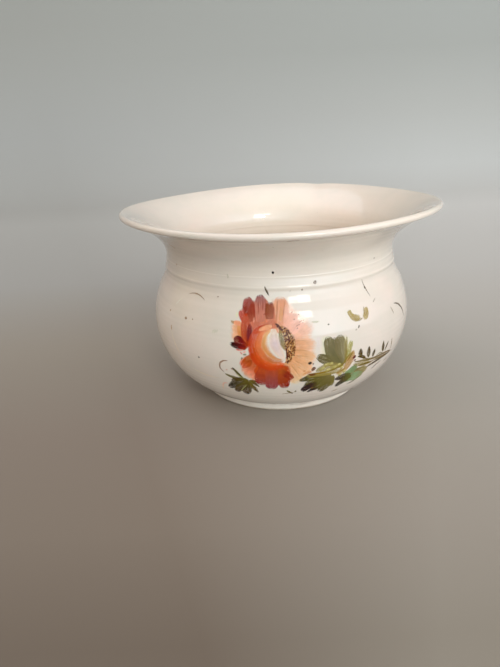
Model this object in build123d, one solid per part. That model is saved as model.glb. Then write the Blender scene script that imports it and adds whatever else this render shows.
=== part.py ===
from build123d import *
import math
import os

# A wide-mouthed glazed porcelain pot for resting and rinsing brushes, painted with one large flower.
# Millimetres, +Z up, origin at the centre of the resting face under the foot ring.

# Overall size
HEIGHT = 134.0
RIM_RADIUS = 110.0
BELLY_RADIUS = 94.0
FOOT_RADIUS = 62.0
NECK_RADIUS = 81.0

# Wall
WALL = 4.0
GLAZE = 0.4
LIP_RADIUS = WALL / 2
FLOOR_Z = 9.5

# Belly, two arcs that meet upright at the widest place, easing into a nearly straight shoulder
BELLY_Z = 57.0
LOWER_BELLY_ARC = 58.0
UPPER_BELLY_ARC = 52.0
SHOULDER_ARC = 150.0
SHOULDER_ANGLE = 23.0

# Collar and flared mouth: a soft crease, a rounded ridge and three hollow arcs
CREASE_ARC = 9.0
RIDGE_ARC = 5.0
RIDGE_ANGLE = 17.0
COLLAR_ARC = 28.0
THROAT_ARC = 17.3
FLARE_ARC = 56.0
FLARE_ANGLE = 72.5

# Foot ring and the films of slip that join the thrown sections
FOOT_INNER_RADIUS = 56.4
FOOT_HEIGHT = 4.2
FOOT_EDGE_ARC = 1.1
GLAZE_START_Z = 1.2
SLIP = 0.3
SHOULDER_SEAM_Z = 93.6

# Painted enamel
ENAMEL = 0.25
ENAMEL_REACH = RIM_RADIUS
PAINT_AZIMUTH = 12.0
FLOWER_AZIMUTH = -5.7
FLOWER_Z = 64.5
SMALLEST_PATCH = 0.4

# Centres of the arcs, as (radius, height) in the half section
LOWER_BELLY = (BELLY_RADIUS - LOWER_BELLY_ARC, BELLY_Z)
UPPER_BELLY = (BELLY_RADIUS - UPPER_BELLY_ARC, BELLY_Z)
FLOOR_ARC = BELLY_Z - FLOOR_Z
FLOOR_CORNER = (BELLY_RADIUS - WALL - FLOOR_ARC, BELLY_Z)
LIP = (RIM_RADIUS - LIP_RADIUS, HEIGHT - LIP_RADIUS)


def flare_centre():
    """Centre of the wide flare arc, which runs smoothly into the underside of the lip."""
    reach = LIP_RADIUS + FLARE_ARC
    slope = math.radians(FLARE_ANGLE)
    return (LIP[0] + reach * math.cos(slope), LIP[1] - reach * math.sin(slope))


def throat_centre():
    """Centre of the throat arc: upright at the neck and smooth with the flare."""
    across = FLARE[0] - NECK_RADIUS - THROAT_ARC
    rise = math.sqrt((FLARE_ARC - THROAT_ARC) ** 2 - across**2)
    return (NECK_RADIUS + THROAT_ARC, FLARE[1] + rise)


def away(centre, distance, angle):
    """Point at a distance from a centre, in a direction given in degrees."""
    turn = math.radians(angle)
    return (centre[0] + distance * math.cos(turn), centre[1] + distance * math.sin(turn))


def crease_centre():
    """Centre of the crease arc, which touches both the shoulder and the ridge from outside."""
    from_shoulder = SHOULDER_ARC + CREASE_ARC
    from_ridge = RIDGE_ARC + CREASE_ARC
    run = RIDGE[0] - SHOULDER[0]
    rise = RIDGE[1] - SHOULDER[1]
    span = math.hypot(run, rise)
    along = (from_shoulder**2 - from_ridge**2 + span**2) / (2 * span)
    aside = math.sqrt(from_shoulder**2 - along**2)
    radius = SHOULDER[0] + (along * run + aside * rise) / span
    height = SHOULDER[1] + (along * rise - aside * run) / span
    return (radius, height)


def heading(start, end):
    """Angle from one point of the half section to another, in degrees."""
    return math.degrees(math.atan2(end[1] - start[1], end[0] - start[0]))


FLARE = flare_centre()
THROAT = throat_centre()
COLLAR = (NECK_RADIUS + COLLAR_ARC, THROAT[1])
COLLAR_FOOT = 180 + RIDGE_ANGLE
RIDGE = away(COLLAR, COLLAR_ARC + RIDGE_ARC, COLLAR_FOOT)
SHOULDER = away(UPPER_BELLY, UPPER_BELLY_ARC - SHOULDER_ARC, SHOULDER_ANGLE)
CREASE = crease_centre()
FLARE_END = 180 - FLARE_ANGLE
FLARE_START = heading(FLARE, THROAT)
RIDGE_FOOT = heading(RIDGE, CREASE)
SHOULDER_TOP = heading(SHOULDER, CREASE)


def arc(centre, radius, start, end):
    return CenterArc(centre, radius, start, end - start)


def foot_corner(depth):
    """Where the upright foot meets the belly, at a depth under the glazed surface."""
    radius = FOOT_RADIUS - depth
    drop = math.sqrt((LOWER_BELLY_ARC - depth) ** 2 - (radius - LOWER_BELLY[0]) ** 2)
    return (radius, BELLY_Z - drop)


def outer_path(depth, start_z):
    """Outside of the pot from foot to lip, at a depth under the glazed surface."""
    corner = foot_corner(depth)
    return [
        Line((corner[0], start_z), corner),
        arc(LOWER_BELLY, LOWER_BELLY_ARC - depth, heading(LOWER_BELLY, corner), 0),
        arc(UPPER_BELLY, UPPER_BELLY_ARC - depth, 0, SHOULDER_ANGLE),
        arc(SHOULDER, SHOULDER_ARC - depth, SHOULDER_ANGLE, SHOULDER_TOP),
        arc(CREASE, CREASE_ARC + depth, 180 + RIDGE_FOOT, 180 + SHOULDER_TOP),
        arc(RIDGE, RIDGE_ARC - depth, RIDGE_FOOT, RIDGE_ANGLE),
        arc(COLLAR, COLLAR_ARC + depth, 180, COLLAR_FOOT),
        arc(THROAT, THROAT_ARC + depth, FLARE_START, 180),
        arc(FLARE, FLARE_ARC + depth, FLARE_END, FLARE_START),
        arc(LIP, LIP_RADIUS - depth, FLARE_END - 180, 90),
    ]


def inner_path(depth):
    """Inside of the pot from lip to the middle of the floor, at a depth under the glaze."""
    wall = WALL - depth
    floor = FLOOR_Z - depth
    return [
        arc(LIP, LIP_RADIUS - depth, 90, FLARE_END),
        arc(FLARE, FLARE_ARC + wall, FLARE_END, FLARE_START),
        arc(THROAT, THROAT_ARC + wall, FLARE_START, 180),
        arc(COLLAR, COLLAR_ARC + wall, 180, COLLAR_FOOT),
        arc(RIDGE, RIDGE_ARC - wall, RIDGE_FOOT, RIDGE_ANGLE),
        arc(CREASE, CREASE_ARC + wall, 180 + RIDGE_FOOT, 180 + SHOULDER_TOP),
        arc(SHOULDER, SHOULDER_ARC - wall, SHOULDER_ANGLE, SHOULDER_TOP),
        arc(UPPER_BELLY, UPPER_BELLY_ARC - wall, 0, SHOULDER_ANGLE),
        arc(FLOOR_CORNER, FLOOR_ARC + depth, -90, 0),
        Line((FLOOR_CORNER[0], floor), (0, floor)),
    ]


def turned(edges):
    """Solid of revolution about the pot's axis from a closed half section."""
    return revolve(Plane.XZ * make_face(edges), Axis.Z)


def lip_cap(deep, shallow=0):
    top = HEIGHT - shallow
    return Line((LIP[0], top), (LIP[0], HEIGHT - deep))


def film_outside(shallow, deep):
    """Thin skin on the outside of the pot between two depths."""
    foot_cap = Line((FOOT_RADIUS - shallow, GLAZE_START_Z), (FOOT_RADIUS - deep, GLAZE_START_Z))
    outer = outer_path(shallow, GLAZE_START_Z)
    inner = outer_path(deep, GLAZE_START_Z)
    return turned(outer + inner + [foot_cap, lip_cap(deep, shallow)])


def film_inside():
    floor_cap = Line((0, FLOOR_Z), (0, FLOOR_Z - GLAZE))
    return turned(inner_path(0) + inner_path(GLAZE) + [floor_cap, lip_cap(GLAZE)])


def clay_body():
    """The whole fired clay above the foot ring, before it is parted at its seams."""
    base_z = FOOT_HEIGHT + SLIP
    edges = outer_path(GLAZE, base_z) + inner_path(GLAZE)
    edges.append(Line((0, FLOOR_Z - GLAZE), (0, base_z)))
    edges.append(Line((0, base_z), (FOOT_RADIUS - GLAZE, base_z)))
    return turned(edges)


def slice_between(solid, low, high):
    """The part of a solid between two heights."""
    slab = Pos(0, 0, (low + high) / 2) * Box(4 * RIM_RADIUS, 4 * RIM_RADIUS, high - low)
    return solid & slab


def foot_ring():
    """Bare clay ring the pot stands on, with rounded resting edges."""
    outer = FOOT_RADIUS - GLAZE
    middle = (outer + FOOT_INNER_RADIUS) / 2
    section = Pos(middle, FOOT_HEIGHT / 2) * Rectangle(outer - FOOT_INNER_RADIUS, FOOT_HEIGHT)
    resting_corners = section.vertices().sort_by(Axis.Y)[:2]
    section = fillet(resting_corners, FOOT_EDGE_ARC)
    return revolve(Plane.XZ * section, Axis.Z)


def ring(inner, outer, low, high):
    middle = (inner + outer) / 2
    section = Pos(middle, (low + high) / 2) * Rectangle(outer - inner, high - low)
    return revolve(Plane.XZ * section, Axis.Z)


def base_glaze():
    """Glaze in the recess under the floor and down the inside of the foot ring."""
    top = FOOT_HEIGHT + SLIP
    wall_glaze = FOOT_INNER_RADIUS - GLAZE
    return turned(
        [
            Line((0, top), (FOOT_INNER_RADIUS, top)),
            Line((FOOT_INNER_RADIUS, top), (FOOT_INNER_RADIUS, GLAZE_START_Z)),
            Line((FOOT_INNER_RADIUS, GLAZE_START_Z), (wall_glaze, GLAZE_START_Z)),
            Line((wall_glaze, GLAZE_START_Z), (wall_glaze, top - GLAZE)),
            Line((wall_glaze, top - GLAZE), (0, top - GLAZE)),
            Line((0, top - GLAZE), (0, top)),
        ]
    )


# Painted outlines. Each is drawn in the painter's own frame: millimetres to the right and up from
# the flower's heart, measured along the belly.


def skin_radius(height):
    """Radius of the glazed surface at a height on the belly or shoulder."""
    if height < BELLY_Z:
        return LOWER_BELLY[0] + math.sqrt(LOWER_BELLY_ARC**2 - (height - BELLY_Z) ** 2)
    if height < away(UPPER_BELLY, UPPER_BELLY_ARC, SHOULDER_ANGLE)[1]:
        return UPPER_BELLY[0] + math.sqrt(UPPER_BELLY_ARC**2 - (height - BELLY_Z) ** 2)
    if height < away(SHOULDER, SHOULDER_ARC, SHOULDER_TOP)[1]:
        return SHOULDER[0] + math.sqrt(SHOULDER_ARC**2 - (height - SHOULDER[1]) ** 2)
    return RIDGE[0] + RIDGE_ARC


def to_paint_plane(point):
    """A painter's point, seen square on from the painted side of the pot."""
    height = FLOWER_Z + point[1]
    azimuth = math.radians(FLOWER_AZIMUTH - PAINT_AZIMUTH) + point[0] / BELLY_RADIUS
    return (skin_radius(height) * math.sin(azimuth), height)


def outline(points):
    """Face inside a smooth closed curve through painter's points."""
    return Sketch() + make_face(Spline(*[to_paint_plane(p) for p in points], periodic=True))


def turn(point, tilt, centre):
    """A point turned by an angle in degrees, then moved to a centre."""
    c = math.cos(math.radians(tilt))
    s = math.sin(math.radians(tilt))
    return (centre[0] + c * point[0] - s * point[1], centre[1] + s * point[0] + c * point[1])


def blob(centre, length, width, tilt=0, lobes=0, depth=0.0):
    """Rounded patch whose edge can be pushed out into lobes."""
    count = max(12, 6 * lobes)
    points = []
    for step in range(count):
        angle = math.tau * step / count
        swell = 1 + depth * math.cos(lobes * angle)
        x = length / 2 * swell * math.cos(angle)
        y = width / 2 * swell * math.sin(angle)
        points.append(turn((x, y), tilt, centre))
    return outline(points)


def petal(tilt, near, far, width, ripple=0.6, centre=(0, 0)):
    """Petal that points away from the heart, narrow at its root, with a rippled end."""
    side = [(near, 0.16), (near + 0.35 * (far - near), 0.38), (near + 0.75 * (far - near), 0.5)]
    right = [(along, -share * width) for along, share in side]
    left = [(along, share * width) for along, share in reversed(side)]
    tip = [(far - ripple, -0.36 * width), (far, -0.15 * width), (far - ripple, 0.05 * width)]
    tip += [(far, 0.2 * width), (far - ripple, 0.37 * width)]
    return outline([turn(p, tilt, centre) for p in right + tip + left])


def stroke(start, bend, end, width):
    """Brush stroke along a curve that starts and ends in a point."""
    steps = 7
    left = []
    right = []
    for step in range(steps + 1):
        t = step / steps
        weights = ((1 - t) ** 2, 2 * t * (1 - t), t**2)
        x = sum(w * p[0] for w, p in zip(weights, (start, bend, end)))
        y = sum(w * p[1] for w, p in zip(weights, (start, bend, end)))
        dx = (1 - t) * (bend[0] - start[0]) + t * (end[0] - bend[0])
        dy = (1 - t) * (bend[1] - start[1]) + t * (end[1] - bend[1])
        half = width / 2 * math.sin(math.pi * t) ** 0.7 / math.hypot(dx, dy)
        left.append(to_paint_plane((x - half * dy, y + half * dx)))
        right.append(to_paint_plane((x + half * dy, y - half * dx)))
    return Sketch() + make_face([Spline(*left), Spline(*right)])


def joined(patches):
    """One sketch from several overlapping patches."""
    result = patches[0]
    for patch in patches[1:]:
        result = result + patch
    return result


def stamen_dots():
    """Three bowed rows of anther dots on the right of the eye."""
    dots = []
    for row in range(3):
        for step in range(9):
            angle = math.radians(-62 + 15 * step + 4 * row)
            x = 2.4 + (4.4 + 2.2 * row) * math.cos(angle)
            y = -0.8 + (12.0 + 0.6 * row) * math.sin(angle)
            dots.append(blob((x, y), 1.5, 1.1, 30 * row))
    return joined(dots)


def flower_eye():
    return blob((0.6, 0.8), 21.5, 8.0, -78)


def flower_cup():
    """Deep bowl of the flower, a fat crescent around the left of the eye."""
    return blob((-3.6, -2.6), 32.0, 27.0, -62, 2, 0.03)


def red_petals():
    fans = ((-108, 29.5, 11), (-94, 32.5, 12), (-80, 32.5, 10), (-67, 26, 8))
    return joined([petal(tilt, 12, far, width) for tilt, far, width in fans])


def plum_petals():
    lobes = [blob((-16.4, 19.8), 13, 7.6, 114), blob((-9.3, 20.8), 13.4, 6.0, 92)]
    lobes += [blob((-3.1, 18.6), 8, 4.8, 84), blob((-19.4, 15.4), 7.4, 3.8, 127)]
    return joined(lobes + [petal(121, 9, 23, 13), petal(102, 9, 22.5, 10)])


def maroon_petals():
    lobes = [blob((-21.6, 1.4), 8.4, 4.2, 141), blob((-22.4, -1.1), 10, 3.8, 4)]
    return joined(lobes + [blob((-17.2, 7.4), 17, 5.4, 92)])


def coral_petals():
    fans = ((-145, 26, 9), (-130, 29, 8.5), (-117, 30, 8))
    return joined([petal(tilt, 12, far, width) for tilt, far, width in fans] + [blob((-17, -9), 9.5, 4, 40)])


def amber_petals():
    return joined([petal(169, 14, 28, 7.5), petal(158, 14, 29, 7.5), blob((-24.0, 16.4), 3.6, 2.4, 80)])


def pale_petals():
    fans = ((68, 26, 8.5), (48, 26.5, 12), (29, 27.5, 12))
    return joined([petal(tilt, 9, far, width) for tilt, far, width in fans] + [blob((26.8, -1.4), 10, 4.6, 96)])


def peach_petals():
    fans = ((82, 27, 11), (12, 24, 13), (-9, 25.5, 12), (-27, 28, 12), (-44, 30.5, 12), (-63, 32, 10))
    return joined([petal(tilt, 8, far, width) for tilt, far, width in fans])


def dark_leaves():
    """Clustered leaf at the lower left and the dark tips of the leaves at the right."""
    leaf = blob((-25.0, -32.0), 14, 9.6, 38, 5, 0.16)
    blades = [stroke((-33.8, -22.3), (-28.4, -24.9), (-20.5, -26.4), 2.4)]
    blades += [stroke((-27.1, -16.9), (-24.4, -20.7), (-19.4, -27.4), 2.2)]
    blades += [stroke((-19.0, -26.6), (-14.4, -26.9), (-11.0, -31.3), 2.0)]
    blades += [stroke((-20.0, -28.0), (-15.7, -31.0), (-12.6, -36.9), 2.6)]
    tips = [blob((21.4, -34.4), 9, 4.6, 22, 3, 0.1), stroke((50.9, -29.6), (46.9, -31.0), (42.6, -35.8), 3.2)]
    return joined([leaf] + blades + tips)


def olive_leaves():
    """Grey-green leaf with three lobes and the broad leaf below it."""
    trio = [blob((33.0, -5.0), 15, 7.8, 98), blob((40.0, -6.6), 17, 7.4, 94), blob((32.4, -12.2), 14.5, 5, -26)]
    broad = [blob((27.0, -29.6), 18, 10, 22, 4, 0.1)]
    return joined(trio + broad)


def teal_leaf():
    return blob((54.4, -29.4), 20.5, 9.4, 4, 4, 0.08)


def stems():
    runs = [((20, -21.1), (38, -22), (49.5, -10), 1.8), ((19.6, -23.7), (30, -22.6), (41, -23), 1.6)]
    runs += [((44.4, -18.8), (44.0, -8.1), (44.6, 1.4), 1.5), ((44.8, -23.6), (48, -16), (49.8, -9.7), 4.0)]
    runs += [((51.4, -18.4), (72, -22.6), (92, -23.4), 1.8)]
    buds = ((28.8, -18.1), (33.0, -15.7), (37.0, -18.0))
    return joined([stroke(*run) for run in runs] + [blob(place, 4.6, 2.4, 18) for place in buds])


def sprig_leaves():
    """Row of small upright leaves that thins out along the right-hand stem."""
    leaves = [((56.2, -12.8), 5.0, 2.6, 67), ((59.1, -16.2), 7.4, 2.4, 143), ((63.3, -14.8), 8.0, 2.8, 94)]
    leaves += [((68.4, -17.1), 5.0, 2.2, 77), ((78.2, -15.4), 8.0, 2.2, 101), ((82.2, -16.8), 6.0, 1.5, 66)]
    leaves += [((88.3, -17.7), 7.6, 1.2, 100)]
    return joined([blob(*leaf) for leaf in leaves])


def tendrils():
    runs = [((-33.6, -21.4), (-39.5, -13.0), (-29.6, -12.2), 0.9), ((-33.2, -30.6), (-38.4, -30.4), (-40, -39), 0.9)]
    return joined([stroke(*run) for run in runs])


def berries():
    places = ((51.0, -15.2), (20.9, -13.0), (23.3, -17.5), (17.6, -18.3), (22.6, -21.6))
    return joined([blob(place, 2.4, 2.0) for place in places])


def insect_strokes():
    """Two short wing strokes, hovering at the right."""
    return joined([stroke((48.5, 16), (50, 9), (57, 9.5), 2.8), stroke((61, 15.5), (63.5, 12.5), (60.5, 9), 2.8)])


def loose_strokes():
    """Thin dark strokes above the flower and a small mark below it."""
    runs = [((-6.5, 35.0), (-4.5, 30.5), (-1.5, 26.8), 1.0), ((6.6, -33.8), (8.4, -36.0), (12.5, -37.0), 1.4)]
    return joined([stroke(*run) for run in runs])


# Each enamel, the ones laid last first: an enamel gives way to every one above it in this list.
ENAMELS = {
    "stamen_dots": stamen_dots,
    "berries": berries,
    "flower_eye": flower_eye,
    "flower_cup": flower_cup,
    "red_petals": red_petals,
    "plum_petals": plum_petals,
    "maroon_petals": maroon_petals,
    "coral_petals": coral_petals,
    "amber_petals": amber_petals,
    "dark_leaves": dark_leaves,
    "stems": stems,
    "sprig_leaves": sprig_leaves,
    "teal_leaf": teal_leaf,
    "olive_leaves": olive_leaves,
    "pale_petals": pale_petals,
    "peach_petals": peach_petals,
    "tendrils": tendrils,
    "insect_strokes": insect_strokes,
    "loose_strokes": loose_strokes,
}


def enamel_patches():
    """Thin raised patches of enamel on the glaze, one group for each colour."""
    side = math.radians(PAINT_AZIMUTH)
    plane = Plane(
        origin=(0, 0, 0),
        x_dir=(math.cos(side), math.sin(side), 0),
        z_dir=(math.sin(side), -math.cos(side), 0),
    )
    band = film_outside(-ENAMEL, 0)
    covered = None
    groups = {}
    for name, draw in ENAMELS.items():
        sketch = draw()
        shown = sketch if covered is None else sketch - covered
        covered = sketch if covered is None else covered + sketch
        solids = []
        for face in shown.faces():
            if face.area < SMALLEST_PATCH:
                continue
            patch = extrude(plane * face, ENAMEL_REACH) & band
            solids.extend(patch.solids())
        groups[name] = Compound(children=solids)
    return groups


def build_pot():
    """Every node of the pot by name."""
    body = clay_body()
    seam_top = SHOULDER_SEAM_Z + SLIP
    foot_top = FOOT_HEIGHT + SLIP
    nodes = {
        "foot_ring": foot_ring(),
        "foot_slip_seam": ring(FOOT_INNER_RADIUS, FOOT_RADIUS - GLAZE, FOOT_HEIGHT, foot_top),
        "belly_bowl": slice_between(body, 0, SHOULDER_SEAM_Z),
        "shoulder_slip_seam": slice_between(body, SHOULDER_SEAM_Z, seam_top),
        "mouth_section": slice_between(body, seam_top, HEIGHT),
        "outside_glaze": film_outside(0, GLAZE),
        "inside_glaze": film_inside(),
        "base_glaze": base_glaze(),
    }
    nodes.update(enamel_patches())
    return nodes


os.makedirs("parts", exist_ok=True)
for node_name, shape in build_pot().items():
    export_step(shape, f"parts/{node_name}.step")
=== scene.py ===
# A glazed porcelain brush pot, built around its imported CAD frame.
# Outlines and painted shapes are worked out in millimetres and turned into metres as meshes are made.
# Azimuths are measured from -Y, the painted side, towards +X.
import math

import bmesh
import bpy
import numpy as np
from mathutils import Matrix, Vector


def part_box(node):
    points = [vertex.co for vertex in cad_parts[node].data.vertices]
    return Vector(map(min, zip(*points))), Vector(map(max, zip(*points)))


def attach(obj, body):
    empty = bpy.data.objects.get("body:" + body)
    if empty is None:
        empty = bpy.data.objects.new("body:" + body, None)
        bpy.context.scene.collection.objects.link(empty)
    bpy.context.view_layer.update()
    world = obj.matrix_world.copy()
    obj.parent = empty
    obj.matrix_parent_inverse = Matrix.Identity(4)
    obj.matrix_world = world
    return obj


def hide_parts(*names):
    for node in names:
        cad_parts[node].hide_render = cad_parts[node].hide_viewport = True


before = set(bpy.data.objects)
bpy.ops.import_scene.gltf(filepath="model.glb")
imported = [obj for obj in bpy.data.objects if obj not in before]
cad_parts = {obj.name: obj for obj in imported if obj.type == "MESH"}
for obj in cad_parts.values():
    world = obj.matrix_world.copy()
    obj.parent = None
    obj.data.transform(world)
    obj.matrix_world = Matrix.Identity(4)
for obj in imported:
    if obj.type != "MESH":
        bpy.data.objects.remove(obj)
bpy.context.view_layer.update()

MM = 0.001


# ---- sizes, read from the frame


def box_mm(node):
    """Low and high corners of a CAD node's box, in millimetres."""
    return np.array(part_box(node)) / MM


def outer_radius(node):
    low, high = box_mm(node)
    return (high - low)[:2].sum() / 4


HEIGHT = box_mm("outside_glaze")[1][2]
RIM_RADIUS = outer_radius("outside_glaze")
FOOT_HEIGHT = box_mm("foot_ring")[1][2]
BASE_Z = box_mm("belly_bowl")[0][2]
SEAM_LOW = box_mm("shoulder_slip_seam")[0][2]
SEAM_HIGH = box_mm("shoulder_slip_seam")[1][2]
GLAZE_START_Z = box_mm("outside_glaze")[0][2]
FLOOR_GLAZE_Z = box_mm("inside_glaze")[0][2]
FOOT_INNER_RADIUS = outer_radius("base_glaze")

# Films and arcs of the half section
GLAZE = 0.4
WALL = 4.0
LIP_RADIUS = WALL / 2
FOOT_RADIUS = outer_radius("foot_ring") + GLAZE
BELLY_RADIUS = outer_radius("belly_bowl") + GLAZE
FLOOR_Z = FLOOR_GLAZE_Z + GLAZE
NECK_RADIUS = 81.0
BELLY_Z = 57.0
LOWER_BELLY_ARC = 58.0
UPPER_BELLY_ARC = 52.0
SHOULDER_ARC = 150.0
SHOULDER_ANGLE = 23.0
CREASE_ARC = 9.0
RIDGE_ARC = 5.0
RIDGE_ANGLE = 17.0
COLLAR_ARC = 28.0
THROAT_ARC = 17.3
FLARE_ARC = 56.0
FLARE_ANGLE = 72.5
FOOT_EDGE_ARC = 1.1
RECESS_ARC = 1.2

# Centres of the arcs, as (radius, height)
LOWER_BELLY = (BELLY_RADIUS - LOWER_BELLY_ARC, BELLY_Z)
UPPER_BELLY = (BELLY_RADIUS - UPPER_BELLY_ARC, BELLY_Z)
FLOOR_ARC = BELLY_Z - FLOOR_Z
FLOOR_CORNER = (BELLY_RADIUS - WALL - FLOOR_ARC, BELLY_Z)
LIP = (RIM_RADIUS - LIP_RADIUS, HEIGHT - LIP_RADIUS)


def away(centre, distance, angle):
    """Point at a distance from a centre, in a direction given in degrees."""
    turn = math.radians(angle)
    return (centre[0] + distance * math.cos(turn), centre[1] + distance * math.sin(turn))


def throat_centre():
    across = FLARE[0] - NECK_RADIUS - THROAT_ARC
    rise = math.sqrt((FLARE_ARC - THROAT_ARC) ** 2 - across**2)
    return (NECK_RADIUS + THROAT_ARC, FLARE[1] + rise)


def crease_centre():
    """The point where the crease arc touches both the shoulder and the ridge from outside."""
    from_shoulder = SHOULDER_ARC + CREASE_ARC
    from_ridge = RIDGE_ARC + CREASE_ARC
    span = math.dist(RIDGE, SHOULDER)
    cosine = (from_shoulder**2 - from_ridge**2 + span**2) / (2 * span * from_shoulder)
    turn = heading(SHOULDER, RIDGE) - math.degrees(math.acos(cosine))
    return away(SHOULDER, from_shoulder, turn)


def heading(start, end):
    return math.degrees(math.atan2(end[1] - start[1], end[0] - start[0]))


FLARE = away(LIP, LIP_RADIUS + FLARE_ARC, -FLARE_ANGLE)
THROAT = throat_centre()
COLLAR = (NECK_RADIUS + COLLAR_ARC, THROAT[1])
COLLAR_FOOT = 180 + RIDGE_ANGLE
RIDGE = away(COLLAR, COLLAR_ARC + RIDGE_ARC, COLLAR_FOOT)
SHOULDER = away(UPPER_BELLY, UPPER_BELLY_ARC - SHOULDER_ARC, SHOULDER_ANGLE)
CREASE = crease_centre()
FLARE_END = 180 - FLARE_ANGLE
FLARE_START = heading(FLARE, THROAT)
RIDGE_FOOT = heading(RIDGE, CREASE)
SHOULDER_TOP = heading(SHOULDER, CREASE)


# ---- half section


def arc(centre, radius, start, end, step):
    """Points along an arc from one angle to another, in degrees."""
    length = abs(math.radians(end - start)) * radius
    angles = np.radians(np.linspace(start, end, max(3, math.ceil(length / step) + 1)))
    return np.stack([centre[0] + radius * np.cos(angles), centre[1] + radius * np.sin(angles)], 1)


def straight(start, end, step):
    count = max(2, math.ceil(math.dist(start, end) / step) + 1)
    return np.linspace(start, end, count)


def chain(parts):
    """One line from several that meet end to end."""
    return np.concatenate([parts[0]] + [part[1:] for part in parts[1:]])


def foot_corner(depth):
    radius = FOOT_RADIUS - depth
    drop = math.sqrt((LOWER_BELLY_ARC - depth) ** 2 - (radius - LOWER_BELLY[0]) ** 2)
    return (radius, BELLY_Z - drop)


def wall_line(depth, step):
    """The wall from the widest belly to the end of the flare, at a depth under its outer face."""
    return chain(
        [
            arc(UPPER_BELLY, UPPER_BELLY_ARC - depth, 0, SHOULDER_ANGLE, step),
            arc(SHOULDER, SHOULDER_ARC - depth, SHOULDER_ANGLE, SHOULDER_TOP, step),
            arc(CREASE, CREASE_ARC + depth, 180 + SHOULDER_TOP, 180 + RIDGE_FOOT, step / 3),
            arc(RIDGE, RIDGE_ARC - depth, RIDGE_FOOT, RIDGE_ANGLE, step / 3),
            arc(COLLAR, COLLAR_ARC + depth, COLLAR_FOOT, 180, step / 5),
            arc(THROAT, THROAT_ARC + depth, 180, FLARE_START, step),
            arc(FLARE, FLARE_ARC + depth, FLARE_START, FLARE_END, step),
        ]
    )


def outer_line(depth, start_z, step):
    """Outside of the pot from foot to lip crest, at a depth under the glazed surface."""
    corner = foot_corner(depth)
    foot = straight((corner[0], start_z), corner, step)
    belly = arc(LOWER_BELLY, LOWER_BELLY_ARC - depth, heading(LOWER_BELLY, corner), 0, step)
    lip = arc(LIP, LIP_RADIUS - depth, FLARE_END - 180, 90, step / 3)
    return chain([foot, belly, wall_line(depth, step), lip])


def inner_line(depth, step):
    """Inside of the pot from lip crest to the middle of the floor, at a depth under the glaze."""
    lip = arc(LIP, LIP_RADIUS - depth, 90, FLARE_END, step / 3)
    bowl = arc(FLOOR_CORNER, FLOOR_ARC + depth, 0, -90, step)
    floor = straight((FLOOR_CORNER[0], FLOOR_Z - depth), (0, FLOOR_Z - depth), 2 * step)
    return chain([lip, wall_line(WALL - depth, step)[::-1], bowl, floor])


def run_of(line):
    """Distance along a line at each of its points."""
    return np.concatenate([[0], np.cumsum(np.hypot(*np.diff(line, axis=0).T))])


def at(line, along, places):
    """Points of a line at some places along it."""
    return np.stack([np.interp(places, along, line[:, k]) for k in (0, 1)], -1)


def softened(line, reach):
    """A line with its corners eased by averaging over a short reach on each side."""
    along = run_of(line)
    eased = np.mean([at(line, along, along + offset) for offset in np.linspace(-reach, reach, 9)], 0)
    ease = np.clip(np.minimum(along, along[-1] - along) / reach, 0, 1)[:, None]
    return line * (1 - ease) + eased * ease


EDGE_STEP = 0.3
FINE_STEP = 0.8
COARSE_STEP = 2.5
GLAZE_POOL = 0.7
SKIN = softened(outer_line(0, GLAZE_START_Z, FINE_STEP), GLAZE_POOL)


# ---- the hand-made unevenness

RIM_WAVE = 0.95
RIM_WAVE_AZIMUTH = math.radians(-70)
RIM_LEAN = 0.25
RIM_SHIFT = 0.55
RIM_OVAL = 0.55
RIM_LONG_AZIMUTH = math.radians(85)
BELLY_SWELL = 0.18
THROWING_LINE = 0.035
THROWING_PITCH = 3.4
STEP_HEIGHTS = ((102.4, 0.085), (96.6, 0.06))
STEP_WIDTH = 0.22
FOLD_HEIGHT = 84.6
FOLD_WIDTH = 3.0
FOLD_DEPTH = 0.4
DIP_AZIMUTH = math.radians(157)
DIP_DEPTH = 0.75
DIP_WIDTH = math.radians(5)
# Heights over which each kind of unevenness sets in or dies away
MOUTH_RISE = (NECK_RADIUS + 22, HEIGHT - 2)
BODY_RISE = (6, 40)
BODY_FALL = (70, 92)
RINGS_RISE = (8, 16)
STEPS_RISE = (94, 96)


def smooth(value, low, high):
    share = np.clip((value - low) / (high - low), 0, 1)
    return share * share * (3 - 2 * share)


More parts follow.
